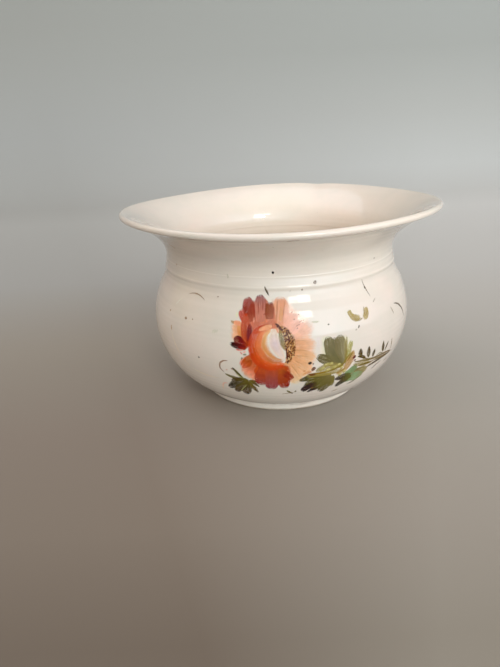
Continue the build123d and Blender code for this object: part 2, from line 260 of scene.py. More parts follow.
def handmade(points):
    """Points in millimetres, moved as a hand-thrown pot moves: a waved rim, faint rings, small steps."""
    x, y, z = points[..., 0], points[..., 1], points[..., 2]
    radius = np.hypot(x, y)
    azimuth = np.arctan2(x, -y)
    mouth = smooth(z, *MOUTH_RISE)
    wave = RIM_WAVE * np.cos(3 * (azimuth - RIM_WAVE_AZIMUTH)) + RIM_LEAN * np.cos(azimuth)
    turn_from_dip = np.angle(np.exp(1j * (azimuth - DIP_AZIMUTH)))
    wave = wave - DIP_DEPTH * np.exp(-((turn_from_dip / DIP_WIDTH) ** 2))
    shift = RIM_SHIFT * np.cos(azimuth - RIM_LONG_AZIMUTH)
    oval = RIM_OVAL * np.cos(2 * (azimuth - RIM_LONG_AZIMUTH))
    body = smooth(z, *BODY_RISE) * (1 - smooth(z, *BODY_FALL))
    swell = BELLY_SWELL * body * np.cos(2 * azimuth + 0.8)
    rings = THROWING_LINE * np.sin(math.tau * z / THROWING_PITCH + azimuth)
    rings = rings * smooth(z, *RINGS_RISE) * (0.6 + 0.4 * np.sin(0.31 * z + 2 * azimuth))
    steps = sum(size * (1 - np.tanh((z - height) / STEP_WIDTH)) for height, size in STEP_HEIGHTS)
    steps = steps * smooth(z, *STEPS_RISE)
    fold = (z - FOLD_HEIGHT) / FOLD_WIDTH
    fold = FOLD_DEPTH * fold * np.exp(-fold * fold / 2)
    moved = radius + (shift + oval) * mouth + swell + rings + steps - fold
    scale = np.where(radius > 1, moved / np.maximum(radius, 1), 1)
    return np.stack([x * scale, y * scale, z + wave * mouth], -1)


# ---- mesh helpers


def linked(name, mesh):
    piece = bpy.data.objects.new(name, mesh)
    bpy.context.scene.collection.objects.link(piece)
    return piece


def tidy_mesh(mesh):
    """Welds doubled points, drops flat faces and turns every face outwards."""
    work = bmesh.new()
    work.from_mesh(mesh)
    bmesh.ops.remove_doubles(work, verts=work.verts, dist=1e-7)
    bmesh.ops.dissolve_degenerate(work, dist=1e-8, edges=work.edges)
    bmesh.ops.recalc_face_normals(work, faces=work.faces)
    work.to_mesh(mesh)
    work.free()
    mesh.shade_smooth()


def turned(name, section, segments):
    """Closed solid of revolution about Z from a closed half section, with the hand-made unevenness."""
    count = len(section)
    azimuth = np.linspace(0, math.tau, segments, endpoint=False)
    radius, height = section.T[..., None]
    height = np.broadcast_to(height, (count, segments))
    points = np.stack([radius * np.sin(azimuth), -radius * np.cos(azimuth), height], -1)
    points = handmade(points).reshape(-1, 3) * MM
    faces = []
    for row in range(count):
        following = (row + 1) % count
        if section[row, 0] < 1e-6 and section[following, 0] < 1e-6:
            continue
        here, there = row * segments, following * segments
        for column in range(segments):
            beside = (column + 1) % segments
            faces.append((here + column, here + beside, there + beside, there + column))
    mesh = bpy.data.meshes.new(name)
    mesh.from_pydata(points.tolist(), [], faces)
    tidy_mesh(mesh)
    return linked(name, mesh)


# ---- node materials


def linear(red, green, blue):
    """A colour as seen on a screen, 0 to 255, as linear light."""
    channels = np.array([red, green, blue]) / 255
    return np.where(channels <= 0.04045, channels / 12.92, ((channels + 0.055) / 1.055) ** 2.4)


class Nodes:
    """Short ways to add and join shader nodes in one material or group."""

    def __init__(self, tree):
        self.tree = tree

    def feed(self, node, inputs):
        """Sets a node's inputs, by name or number, to values, or joins them to other nodes' outputs."""
        for key, value in inputs.items():
            socket = node.inputs[key]
            if isinstance(value, bpy.types.NodeSocket):
                self.tree.links.new(value, socket)
            elif socket.type == "RGBA":
                socket.default_value = (*value, 1)
            else:
                socket.default_value = value

    def add(self, kind, inputs=None, **settings):
        node = self.tree.nodes.new("ShaderNode" + kind)
        for key, value in settings.items():
            setattr(node, key, value)
        self.feed(node, inputs or {})
        return node

    def place(self):
        return self.add("TexCoord").outputs["Object"]

    def attribute(self, name):
        return self.add("Attribute", attribute_name=name).outputs

    def math(self, operation, first, second=0.0, clamp=False):
        inputs = {0: first, 1: second}
        return self.add("Math", inputs, operation=operation, use_clamp=clamp).outputs[0]

    def vector(self, operation, inputs):
        return self.add("VectorMath", inputs, operation=operation).outputs

    def mix(self, share, first, second):
        return self.add("Mix", {0: share, 6: first, 7: second}, data_type="RGBA").outputs[2]

    def range(self, value, *limits):
        """A value carried from one pair of limits to another."""
        return self.add("MapRange", dict(enumerate((value, *limits)))).outputs[0]

    def ramp(self, position, stops):
        """Colour along (place, colour) stops."""
        node = self.add("ValToRGB", {0: position})
        scale = node.color_ramp.elements
        for element, (place, colour) in zip((scale[0], scale[1]), (stops[0], stops[-1])):
            element.position = place
            element.color = (*colour, 1)
        for place, colour in stops[1:-1]:
            scale.new(place).color = (*colour, 1)
        return node.outputs[0]

    def noise(self, vector, scale, detail=3.0):
        inputs = {"Vector": vector, "Scale": scale, "Detail": detail, "Roughness": 0.55}
        return self.add("TexNoise", inputs).outputs["Fac"]

    def bump(self, height, strength, distance, inputs=None):
        inputs = {"Height": height, "Strength": strength, "Distance": distance, **(inputs or {})}
        return self.add("Bump", inputs).outputs[0]


def new_material(name):
    material = bpy.data.materials.new(name)
    material.use_nodes = True
    nodes = Nodes(material.node_tree)
    surface = material.node_tree.nodes["Principled BSDF"]
    return material, nodes, surface


GLAZE_WARM = linear(233, 221, 206)
GLAZE_GREY = linear(222, 215, 200)
GLAZE_PINK = linear(236, 219, 206)
IRON_BROWN = linear(96, 62, 38)
STAIN_BROWN = linear(112, 92, 70)


def specks(nodes, place, scale, size, share):
    """1 inside small round spots, one in some of the cells of a loose grid."""
    cells = nodes.add("TexVoronoi", {"Vector": place, "Scale": scale}).outputs
    split = nodes.add("SeparateColor", {0: cells["Color"]}).outputs
    reach = nodes.math("MULTIPLY", split["Green"], size)
    spot = nodes.range(nodes.math("SUBTRACT", reach, cells["Distance"]), 0, size * 0.25, 0, 1)
    return nodes.math("MULTIPLY", spot, nodes.math("LESS_THAN", split["Red"], share))


STAIN_REACH = (0.0003, 0.0024)


def glaze_colour_group():
    """Cream glaze colour by place: slow drifts of tone, iron specks and a stained foot corner."""
    group = bpy.data.node_groups.new("cream_glaze_colour", "ShaderNodeTree")
    group.interface.new_socket("Colour", in_out="OUTPUT", socket_type="NodeSocketColor")
    nodes = Nodes(group)
    place = nodes.place()
    drift = nodes.range(nodes.noise(place, 14, 4), 0.35, 0.65, 0, 1)
    mottle = nodes.range(nodes.noise(place, 55, 3), 0.4, 0.7, 0, 0.5)
    colour = nodes.mix(mottle, nodes.mix(drift, GLAZE_WARM, GLAZE_PINK), GLAZE_GREY)
    for scale, size, share, strength in ((95, 0.055, 0.16, 0.75), (260, 0.06, 0.10, 0.45)):
        spots = specks(nodes, place, scale, size, share)
        colour = nodes.mix(nodes.math("MULTIPLY", spots, strength), colour, IRON_BROWN)
    height = nodes.add("SeparateXYZ", {0: place}).outputs["Z"]
    from_corner = nodes.math("ABSOLUTE", nodes.math("SUBTRACT", height, foot_corner(0)[1] * MM))
    patchy = nodes.range(nodes.noise(place, 38, 4), 0.47, 0.66, 0, 1)
    stain = nodes.math("MULTIPLY", nodes.range(from_corner, *STAIN_REACH, 1, 0), patchy)
    colour = nodes.mix(nodes.math("MULTIPLY", stain, 0.75), colour, STAIN_BROWN)
    nodes.tree.links.new(colour, group.nodes.new("NodeGroupOutput").inputs[0])
    return group


GLAZE_COLOUR = glaze_colour_group()


def glaze_surface(nodes, surface, colour, index=1.5, coat=0.35, facing=None):
    """The shared finish of glaze: glossy, a little wavy, and slightly uneven in its shine."""
    place = nodes.place()
    peel = nodes.math("MULTIPLY", nodes.noise(place, 240, 2), 0.25)
    relief = nodes.math("ADD", peel, nodes.noise(place, 45, 2))
    finish_inputs = {
        "Base Color": colour,
        "Roughness": nodes.range(nodes.noise(place, 30, 4), 0.3, 0.7, 0.05, 0.10),
        "IOR": index,
        "Coat Weight": coat,
        "Coat Roughness": 0.02,
        "Subsurface Weight": 0.06,
        "Subsurface Radius": (1.0, 0.7, 0.5),
        "Subsurface Scale": 0.0015,
        "Normal": nodes.bump(relief, 0.10, 0.0006, facing),
    }
    nodes.feed(surface, finish_inputs)


def glaze_material():
    material, nodes, surface = new_material("cream_glaze")
    glaze_surface(nodes, surface, nodes.add("Group", node_tree=GLAZE_COLOUR).outputs[0])
    return material


def enamel_material(name, streak_scale, streak_strength, coat):
    """Overglaze enamel: pigment and its density are painted on each point, and brush streaks run
    along every stroke. Where the pigment is thin, the glaze shows through."""
    material, nodes, surface = new_material(name)
    pigment = nodes.attribute("pigment")
    brush = nodes.attribute("brush")["Vector"]
    along = nodes.vector("MULTIPLY", {0: brush, 1: (0.10, 1, 1)})[0]
    streaks = nodes.noise(along, streak_scale)
    cloud = nodes.range(nodes.noise(brush, 0.35), 0.3, 0.7, 0.9, 1.08)
    value = nodes.range(streaks, 0.3, 0.7, 1 - streak_strength, 1 + 0.6 * streak_strength)
    value = nodes.math("MULTIPLY", value, cloud)
    shaded = nodes.add("HueSaturation", {"Value": value, "Color": pigment["Color"]}).outputs[0]
    facing = {"Normal": nodes.attribute("skin")["Vector"]}
    glaze_surface(nodes, surface, shaded, 1.5 if coat else 1.4, coat, facing)
    thin = nodes.range(streaks, 0.3, 0.7, 1.1, 0.78)
    density = nodes.math("MULTIPLY", pigment["Alpha"], thin, clamp=True)
    grain = nodes.add("TexWhiteNoise", {"Vector": nodes.place()}).outputs["Value"]
    covered = nodes.math("GREATER_THAN", density, grain)
    seen = nodes.add("LightPath").outputs["Is Camera Ray"]
    nodes.feed(surface, {"Alpha": nodes.math("MULTIPLY", covered, seen)})
    return material


def clay_material(name, light, dark):
    """Bare fired clay: dry, sandy, with darker grains and rubbed-in dirt."""
    material, nodes, surface = new_material(name)
    place = nodes.place()
    colour = nodes.mix(nodes.range(nodes.noise(place, 120, 5), 0.35, 0.7, 0, 1), light, dark)
    grains = nodes.math("MULTIPLY", specks(nodes, place, 900, 0.35, 0.35), 0.5)
    colour = nodes.mix(grains, colour, IRON_BROWN)
    relief = nodes.bump(nodes.noise(place, 1800, 3), 0.35, 0.0002)
    nodes.feed(surface, {"Base Color": colour, "Roughness": 0.82, "Normal": relief})
    return material


CREAM_GLAZE = glaze_material()
BARE_CLAY = clay_material("bare_clay", linear(206, 190, 168), linear(158, 134, 106))
FIRED_SLIP = clay_material("fired_slip", linear(214, 200, 180), linear(176, 152, 124))


# ---- clay and glaze pieces


def finish(piece, material, slot, *nodes):
    """Gives a piece its material, puts it on the pot and lets it stand for its CAD nodes."""
    piece.data.materials.append(material)
    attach(piece, "root")
    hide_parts(*nodes)


GLAZE_SEGMENTS = 360
CLAY_SEGMENTS = 192


def glaze_film(name, top, under):
    """Glaze as a thin closed film between its face and its bond with the clay."""
    return turned(name, np.concatenate([top, under[::-1]]), GLAZE_SEGMENTS)


def glaze_film_base():
    """Glaze in the recess under the floor, easing down the inside of the foot ring."""
    wall = FOOT_INNER_RADIUS - GLAZE
    ceiling = BASE_Z - GLAZE
    centre = (wall - RECESS_ARC, ceiling - RECESS_ARC)
    under = chain(
        [
            straight((0, ceiling), (centre[0], ceiling), COARSE_STEP),
            arc(centre, RECESS_ARC, 90, 0, EDGE_STEP),
            straight((wall, centre[1]), (wall, GLAZE_START_Z), FINE_STEP),
        ]
    )
    top = np.array([(FOOT_INNER_RADIUS, GLAZE_START_Z), (FOOT_INNER_RADIUS, BASE_Z), (0, BASE_Z)])
    return turned("glaze_base", np.concatenate([under, top]), CLAY_SEGMENTS)


def stretch(line, low, high):
    """The part of a rising line between two heights, cut square where the line goes on."""
    heights = line[:, 1]
    parts = [line[(heights >= low) & (heights <= high)]]
    if heights[0] < low:
        parts.insert(0, [(np.interp(low, heights, line[:, 0]), low)])
    if heights[-1] > high:
        parts.append([(np.interp(high, heights, line[:, 0]), high)])
    return np.concatenate(parts)


def clay_wall(name, low, high, *corners):
    """Clay between two heights: up its outside, down its inside and round any further corners."""
    outside = stretch(outer_line(GLAZE, BASE_Z, COARSE_STEP), low, high)
    inside = stretch(inner_line(GLAZE, COARSE_STEP)[::-1], low, high)[::-1]
    return turned(name, np.array([*outside, *inside, *corners]), CLAY_SEGMENTS)


def clay_foot():
    """Foot ring with rounded resting edges."""
    outer, edge = FOOT_RADIUS - GLAZE, FOOT_EDGE_ARC
    section = chain(
        [
            straight((outer, FOOT_HEIGHT), (outer, edge), FINE_STEP),
            arc((outer - edge, edge), edge, 0, -90, EDGE_STEP),
            straight((outer - edge, 0), (FOOT_INNER_RADIUS + edge, 0), FINE_STEP),
            arc((FOOT_INNER_RADIUS + edge, edge), edge, -90, -180, EDGE_STEP),
            straight((FOOT_INNER_RADIUS, edge), (FOOT_INNER_RADIUS, FOOT_HEIGHT), FINE_STEP),
        ]
    )
    return turned("clay_foot", section, GLAZE_SEGMENTS)


def foot_seam():
    corners = [(FOOT_INNER_RADIUS, FOOT_HEIGHT), (FOOT_RADIUS - GLAZE, FOOT_HEIGHT)]
    corners += [(FOOT_RADIUS - GLAZE, BASE_Z), (FOOT_INNER_RADIUS, BASE_Z)]
    return turned("seam_foot", np.array(corners), CLAY_SEGMENTS)


finish(clay_foot(), BARE_CLAY, "bare_clay", "foot_ring")
finish(foot_seam(), FIRED_SLIP, "fired_slip", "foot_slip_seam")
clay_bowl = clay_wall("clay_bowl", BASE_Z, SEAM_LOW, (0, BASE_Z))
shoulder_seam = clay_wall("seam_shoulder", SEAM_LOW, SEAM_HIGH)
finish(clay_bowl, BARE_CLAY, "bare_clay", "belly_bowl")
finish(shoulder_seam, FIRED_SLIP, "fired_slip", "shoulder_slip_seam")
finish(clay_wall("clay_mouth", SEAM_HIGH, HEIGHT), BARE_CLAY, "bare_clay", "mouth_section")
outer_film = glaze_film("glaze_outside", SKIN, outer_line(GLAZE, GLAZE_START_Z, COARSE_STEP))
inner_film = glaze_film("glaze_inside", inner_line(0, FINE_STEP * 1.5), inner_line(GLAZE, COARSE_STEP))
finish(outer_film, CREAM_GLAZE, "cream_glaze", "outside_glaze")
finish(inner_film, CREAM_GLAZE, "cream_glaze", "inside_glaze")
finish(glaze_film_base(), CREAM_GLAZE, "cream_glaze", "base_glaze")


# ---- enamel strokes
# Painter's frame: millimetres to the right and up from the flower's heart, along the belly.

EYE_FROM_HEART = (0.6, 0.8)
eye_low, eye_high = box_mm("flower_eye")
eye_middle = (eye_low + eye_high) / 2
HEART_AZIMUTH = math.atan2(eye_middle[0], -eye_middle[1]) - EYE_FROM_HEART[0] / BELLY_RADIUS
HEART_Z = eye_middle[2] - EYE_FROM_HEART[1]
BURIED = 0.09
SUNK = 0.02
LAYER = 0.005
MOST_LAYERS = 12
SLOPE_STEP = 0.25

# How the studio light falls on the painted side, for red, green and blue: at the heart, its change
# for each millimetre to the right and up, its fading towards the sides, and the sheen it leaves.
LIGHT_AT_HEART = np.array([0.85, 0.87, 0.88])
LIGHT_RIGHTWARDS = np.array([0.0044, 0.0048, 0.0055])
LIGHT_UPWARDS = np.array([0.0063, 0.0071, 0.0079])
LIGHT_FADING = -0.00005
LIGHT_FADING_UP = -0.0001
SHEEN = np.array([0.015, 0.02, 0.023])


def on_pot(flat, lift):
    """Painter's points, raised by a lift above the glaze, as places on the uneven pot."""
    height = HEART_Z + flat[..., 1]
    azimuth = HEART_AZIMUTH + flat[..., 0] / BELLY_RADIUS
    levels = np.stack([height - SLOPE_STEP, height, height + SLOPE_STEP])
    behind, radius, ahead = np.interp(levels, SKIN[:, 1], SKIN[:, 0])
    slope = (ahead - behind) / (2 * SLOPE_STEP)
    steep = np.hypot(1, slope)
    radius = radius + lift / steep
    height = height - lift * slope / steep
    return handmade(np.stack([radius * np.sin(azimuth), -radius * np.cos(azimuth), height], -1))


def in_this_light(flat, rgba):
    """Enamel colours that look as named once the studio light falls on them at their place."""
    right, up = flat[..., :1], flat[..., 1:]
    light = LIGHT_AT_HEART + LIGHT_RIGHTWARDS * right + LIGHT_UPWARDS * up
    light = light + LIGHT_FADING * right**2 + LIGHT_FADING_UP * up**2
    colour = np.clip((rgba[..., :3] - SHEEN) / np.maximum(light, 0.3), 0.003, 0.95)
    return np.concatenate([colour, rgba[..., 3:]], -1)


def blend_along(stops, share):
    """Colour at each share, 0 to 1, along evenly spaced stops."""
    colours = np.array([linear(*stop) for stop in stops])
    places = np.linspace(0, 1, len(stops))
    return np.stack([np.interp(share, places, colours[:, k]) for k in range(3)], -1)


def tone(feather, *stops, dense=1.0, fade=0.07, across=None, share=0.5):
    """How a stroke is coloured: stops from root to tip and, for a share, across from its left side
    to its right. feather softens the sides and fade the tip."""

    def paint(t, w):
        colour = blend_along(stops, t)
        if across:
            colour = colour * (1 - share) + blend_along(across, (w + 1) / 2) * share
        density = dense * smooth(t, 0, 0.05) * (1 - smooth(t, 1 - fade, 0.995))
        density = density * (1 - smooth(np.abs(w), 1 - feather, 1))
        return np.concatenate([colour, density[..., None]], -1)

    return paint


def stroke(spine, half, paint, ripple=0.0):
    """One lens-shaped touch of the brush. spine and half are functions of 0 to 1 and give the
    middle line and the half width; ripple waves the far end."""
    line = spine(np.linspace(0, 1, 40))
    length = run_of(line)[-1]
    breadth = half(np.linspace(0, 1, 40)).max()
    seed = line[0, 0] + 2 * line[0, 1]
    t = np.linspace(0, 1, int(np.clip(length / 0.7, 9, 48)))
    w = np.sin(np.linspace(-math.pi / 2, math.pi / 2, int(np.clip(4 * breadth, 5, 21)) | 1))
    middle = spine(t)
    ahead = np.gradient(middle, axis=0)
    ahead = ahead / np.maximum(np.hypot(*ahead.T), 1e-9)[:, None]
    aside = np.stack([-ahead[:, 1], ahead[:, 0]], -1)
    widths = half(t) * (1 + 0.05 * np.sin(9 * t + 3.1 * seed) + 0.03 * np.sin(23 * t + seed))
    grid_t, grid_w = np.meshgrid(t, w, indexing="ij")
    flat = middle[:, None] + aside[:, None] * (grid_w * widths[:, None])[..., None]
    reach = ripple * np.cos(5 * math.pi * grid_w + seed) * smooth(grid_t, 0.55, 0.95)
    flat = flat + ahead[:, None] * reach[..., None]
    brush = [length * grid_t, grid_w * widths[:, None], np.full(grid_t.shape, 7.3 * seed)]
    crown = (1 - np.abs(grid_w) ** 16) * (1 - np.abs(2 * grid_t - 1) ** 30)
    return {"flat": flat, "crown": crown, "rgba": paint(grid_t, grid_w), "brush": np.stack(brush, -1)}


def bent(*points):
    """Spine along a smooth curve from a start to an end, pulled towards a bend between them."""
    return lambda t: np.stack([(1 - t) ** 2, 2 * t * (1 - t), t**2], -1) @ np.array(points)


def through(*points):
    """Spine that passes smoothly near several points."""
    knots = np.array(points, float)
    run = run_of(knots)
    fine = np.linspace(0, 1, 120)
    line = at(knots, run / run[-1], fine)
    for _ in range(60):
        line[1:-1] = 0.25 * line[:-2] + 0.5 * line[1:-1] + 0.25 * line[2:]
    return lambda t: at(line, fine, t)


def petal(x0, y0, x1, y1, x2, y2, width, paint, root=0.7, ripple=0.5, widest=0.7):
    """Touch with a narrow root, widest towards a round end."""

    def half(t):
        swell = root + (1 - root) * np.sin(np.clip(t / widest, 0, 1) * math.pi / 2)
        tip = np.sqrt(1 - (np.clip(t - widest, 0, 1) / (1 - widest)) ** 2)
        return width / 2 * swell * tip * np.sqrt(np.clip(t / 0.06, 0, 1))

    return stroke(bent((x0, y0), (x1, y1), (x2, y2)), half, paint, ripple)


def leaf(x0, y0, x1, y1, x2, y2, width, paint, power=0.7):
    """Touch that narrows to both ends."""
    return stroke(bent((x0, y0), (x1, y1), (x2, y2)), leaf_half(width, power), paint)


def leaf_half(width, power=0.7):
    return lambda t: width / 2 * np.sin(math.pi * t) ** power


def crescent(spine, paint, power, *half_widths):
    """Long touch whose half width runs through evenly spaced values."""

    def half(t):
        return np.interp(t, np.linspace(0, 1, len(half_widths)), half_widths) * np.sin(math.pi * t) ** power

    return stroke(spine, half, paint)


def dot(x, y, length, width, tilt, paint):
    """Small oval touch, tilted by an angle in degrees."""
    run, rise = (length / 2 * turn(math.radians(tilt)) for turn in (math.cos, math.sin))

    def half(t):
        return width / 2 * np.sqrt(1 - (2 * t - 1) ** 2)

    return stroke(bent((x - run, y - rise), (x, y), (x + run, y + rise)), half, paint)


def enamel_piece(name, low, strokes, material, slot, *nodes):
    """One mesh of closed touches, each laid a little over the last, with pigment, brush direction
    and the pot's own facing on every point."""
    points, faces, layers = [], [], {"pigment": [], "brush": [], "skin": []}
    offset = 0
    for number, mark in enumerate(strokes):
        shape = mark["crown"].shape
        lift = (low + LAYER * min(number, MOST_LAYERS)) * mark["crown"] - SUNK
        top = on_pot(mark["flat"], lift).reshape(-1, 3)
        under = on_pot(mark["flat"], np.full(shape, -BURIED)).reshape(-1, 3)
        outwards = on_pot(mark["flat"], np.ones(shape)).reshape(-1, 3) - under
        index = np.arange(shape[0] * shape[1]).reshape(shape)
        below = index + index.size
        for edge in (np.s_[0], np.s_[-1], np.s_[:, 0], np.s_[:, -1]):
            below[edge] = index[edge]
        for grid, order in ((index, 1), (below, -1)):
            corners = [grid[:-1, :-1], grid[1:, :-1], grid[1:, 1:], grid[:-1, 1:]]
            quads = np.stack(corners[::order], -1).reshape(-1, 4)
            faces.extend((quads + offset).tolist())
        points.extend([top, under])
        layers["pigment"] += [in_this_light(mark["flat"], mark["rgba"]).reshape(-1, 4)] * 2
        layers["brush"] += [mark["brush"].reshape(-1, 3)] * 2
        layers["skin"] += [outwards / np.linalg.norm(outwards, axis=1)[:, None]] * 2
        offset += 2 * index.size
    mesh = bpy.data.meshes.new(name)
    mesh.from_pydata((np.concatenate(points) * MM).tolist(), [], faces)
    for layer, values in layers.items():
        kind, channel = ("FLOAT_COLOR", "color") if layer == "pigment" else ("FLOAT_VECTOR", "vector")
        data = mesh.attributes.new(layer, kind, "POINT").data
        data.foreach_set(channel, np.concatenate(values).astype(np.float32).ravel())
    tidy_mesh(mesh)
    finish(linked(name, mesh), material, slot, *nodes)


# ---- the flower

PEACH_WASH = enamel_material("peach_wash", 1.5, 0.10, 0.35)
FINE_STREAKED = enamel_material("fine_streaked_enamel", 2.2, 0.22, 0)
SMOOTH_SHADED = enamel_material("smooth_shaded_enamel", 0.8, 0.08, 0)
LEAF_ENAMEL = enamel_material("leaf_enamel", 1.3, 0.20, 0)
LINE_ENAMEL = enamel_material("line_enamel", 2, 0.15, 0)


def peach_petals():
    top = tone(0.35, (212, 136, 92), (220, 144, 102), (230, 158, 118), fade=0.12)
    right = tone(0.4, (214, 150, 104), (224, 163, 122), (240, 192, 162), fade=0.25)
    low = tone(0.4, (212, 148, 100), (220, 162, 116), (230, 182, 142), fade=0.2)
    coral = tone(0.4, (222, 120, 86), (232, 142, 110), (236, 170, 144), fade=0.3)
    golden = tone(0.5, (166, 106, 60), (186, 130, 82), (206, 156, 110), dense=0.55)
    brown = tone(0.5, (178, 104, 70), (186, 112, 78), dense=0.7)
    amber = tone(0.6, (212, 146, 80), (220, 154, 92), dense=0.6)
    plum = tone(0.3, (128, 78, 66), (120, 70, 58), dense=0.8)
    marks = [
        petal(3.6, 6.4, 4, 16.8, 3.6, 26.8, 13, top, 0.8),
        petal(7.3, 3.9, 15.2, 5.2, 23.4, 5.1, 14, right),
        petal(8.4, -0.9, 16.1, -1.4, 25.4, -4.2, 13, right),
        petal(8.3, -5.3, 16, -8.4, 24.9, -12.8, 13, low),
        petal(7.6, -8.5, 14.8, -15.2, 22.2, -21.3, 13, low),
        petal(5.2, -11.1, 10.6, -19.4, 14.9, -28.7, 11, low),
        leaf(2.1, -15.3, 6.9, -19.1, 11.1, -27.5, 5.4, coral),
        leaf(4, 13, 3.9, 17.3, 4.5, 21.6, 3.4, amber),
        leaf(1.2, 13.1, 1.4, 19.5, 2.2, 26.1, 1.6, brown),
        leaf(-1.2, 15.3, -1.4, 20.6, -1.5, 25.9, 1, brown),
        leaf(5.5, 15.2, 6.2, 20.5, 6.7, 25.2, 0.8, brown),
        leaf(11.3, -3.5, 16.1, -3.6, 21.5, -5.1, 1.2, golden),
        leaf(11.8, -7, 16, -7.5, 20.3, -8.6, 1.2, golden),
        leaf(11.2, -10.1, 14.2, -11.7, 17.3, -14, 1, golden),
        leaf(10.2, 2, 15, 2.3, 20.4, 1.3, 0.8, golden),
        leaf(9.4, -13.4, 12.4, -17.2, 15.1, -22.9, 1, golden),
    ]
    for x, y in (
        (11, 18.2), (12.1, 14.3), (15.2, 16.8), (16.6, 13.2), (17.4, 12.2),
        (17.9, 13.4), (14.9, 11.2), (13.7, 10.7), (13.8, 9.3), (15.7, 12.7),
    ):
        marks.append(dot(x, y, 1.1, 0.8, 40, plum))
    return marks


def pale_petals():
    pink = tone(0.5, (232, 162, 132), (240, 176, 152), (242, 196, 178), fade=0.35)
    blush = tone(0.5, (228, 160, 122), (230, 168, 136), (238, 196, 176), fade=0.35)
    lilac = tone(0.6, (230, 214, 212), (226, 214, 218), dense=0.45, fade=0.5)
    return [
        petal(6.8, 7.4, 9, 15, 9.6, 24, 8, pink),
        petal(8, 5.1, 16, 8.6, 24, 13.5, 13, blush),
        petal(6.8, 6.3, 13.1, 11.6, 17.6, 19.4, 12.5, pink),
        leaf(25.5, 3.7, 27.8, -0.8, 26.4, -7, 5, lilac),
    ]


def plum_petals():
    rose = tone(0.25, (192, 102, 76), (188, 98, 76), (172, 88, 72))
    salmon = tone(0.25, (204, 118, 84), (196, 112, 84), (188, 102, 80))
    wine = tone(0.18, (166, 76, 62), (142, 54, 44), (136, 50, 44), (166, 84, 80))
    mauve = tone(0.2, (196, 112, 88), (190, 116, 98), (176, 104, 92), (136, 78, 84))
    dark = tone(0.15, (166, 80, 64), (146, 66, 46), (124, 54, 36), across=((168, 92, 76), (112, 44, 28)))
    small = tone(0.2, (186, 76, 54), (184, 82, 68), (192, 100, 90))
    deep = tone(0.4, (146, 60, 46), (138, 54, 42), dense=0.75)
    flame = tone(0.4, (196, 64, 44), (190, 58, 42), dense=0.9)
    light = tone(0.5, (222, 150, 124), (214, 140, 118), dense=0.8)
    return [
        petal(-7.7, 7.6, -10.9, 13.6, -13.4, 20.6, 14.5, rose, 0.8),
        petal(-3.6, 8.8, -4.2, 14.8, -4.9, 22.6, 11.5, salmon, 0.9),
        petal(-11.6, 10, -13.2, 16, -13.6, 24.6, 7, rose),
        petal(-6.4, 12, -6.4, 18, -6, 25.6, 6, salmon),
        petal(-17, 12.2, -19.6, 15.4, -22.2, 19.4, 5.6, small, 0.8),
        petal(-14, 12.6, -16.4, 19.6, -18.4, 26, 8.8, wine, 0.8),
        petal(-2.9, 14.2, -3.2, 19, -3.4, 23.8, 6.8, dark, 0.8),
        petal(-8.8, 12.6, -9.2, 20.6, -9.2, 27.8, 8, mauve, 0.75),
        leaf(-7.9, 17.1, -5.3, 18, -2.2, 17.7, 1.1, deep),
        leaf(-6.1, 24.3, -6, 22.8, -5.3, 21.7, 0.9, deep),
        dot(-18.1, 16.9, 2.4, 2.4, 0, flame),
        leaf(-12.9, 12.4, -12.8, 14.1, -12.7, 16, 1.6, light),
        leaf(-10, 16.8, -10.3, 20.6, -10.7, 24.8, 0.8, deep),
        leaf(-7.4, 18.5, -7.4, 21.7, -7.6, 24.9, 0.8, deep),
        leaf(-11.6, 18, -12.2, 21, -12, 24.6, 0.7, light),
    ]


def amber_petals():
    gold = tone(0.4, (190, 108, 64), (198, 126, 68), (214, 150, 92))
    blush = tone(0.4, (204, 134, 92), (208, 142, 100), (228, 180, 146), fade=0.2)
    peach = tone(0.3, (214, 132, 96), (226, 154, 114))
    olive = tone(0.4, (150, 122, 74), (140, 110, 66), dense=0.85)
    lime = tone(0.6, (214, 218, 168), (216, 220, 176), dense=0.6)
    bronze = tone(0.4, (176, 116, 64), (150, 112, 60), dense=0.9)
    return [
        petal(-16.5, 5.6, -21.6, 6.4, -27.4, 7, 10, blush),
        petal(-17, 2.5, -22, 3.5, -27, 3.6, 6, blush),
        petal(-17, 8.8, -22.2, 9.4, -27.6, 10.6, 7, blush),
        leaf(-19.6, 2.6, -21.4, 7, -22.6, 11.5, 4.8, gold),
        leaf(-17.7, 10, -21.7, 12, -26.9, 12.5, 3.6, peach),
        dot(-26.7, 12.3, 3, 2, -20, olive),
        dot(-24, 16.6, 3.4, 2.4, 80, lime),
        leaf(-18, 18.5, -18.7, 20.9, -18.4, 22.8, 2.1, bronze),
    ]


def maroon_petals():
    brick = tone(0.3, (182, 88, 68), (178, 84, 62), (160, 62, 44), (166, 64, 44))
    shade = tone(0.45, (140, 54, 40), (106, 36, 20), (108, 36, 20), (160, 62, 42))
    wine = tone(0.15, (150, 60, 46), (112, 34, 18), (88, 26, 14))
    black = tone(0.15, (116, 44, 28), (70, 38, 18), (46, 34, 16))
    pink = tone(0.4, (214, 132, 116), (226, 156, 140), dense=0.8)
    rose = tone(0.4, (180, 80, 76), (190, 92, 88), dense=0.9)
    return [
        leaf(-18.4, 17.8, -18.2, 10, -16.6, -2.6, 7, brick, 0.4),
        leaf(-15.6, 12.6, -14.8, 7, -16.6, -1.4, 4.8, shade),
        petal(-16.6, -2.6, -21, 0.6, -24.8, 4.3, 6.2, wine, widest=0.6),
        petal(-17, -2, -22.6, -1.8, -27.6, -0.2, 4.4, black, widest=0.6),
        leaf(-17.6, -3.5, -20.7, -2.1, -23.3, -1.8, 2.4, wine),
        dot(-20.5, -3.9, 3.4, 1.6, 10, pink),
        dot(-22.8, -3.9, 2.6, 1.3, -20, rose),
        dot(-20.6, -5.9, 2.2, 1.1, -50, rose),
        dot(-18.6, -5, 2.4, 1.4, 30, pink),
    ]


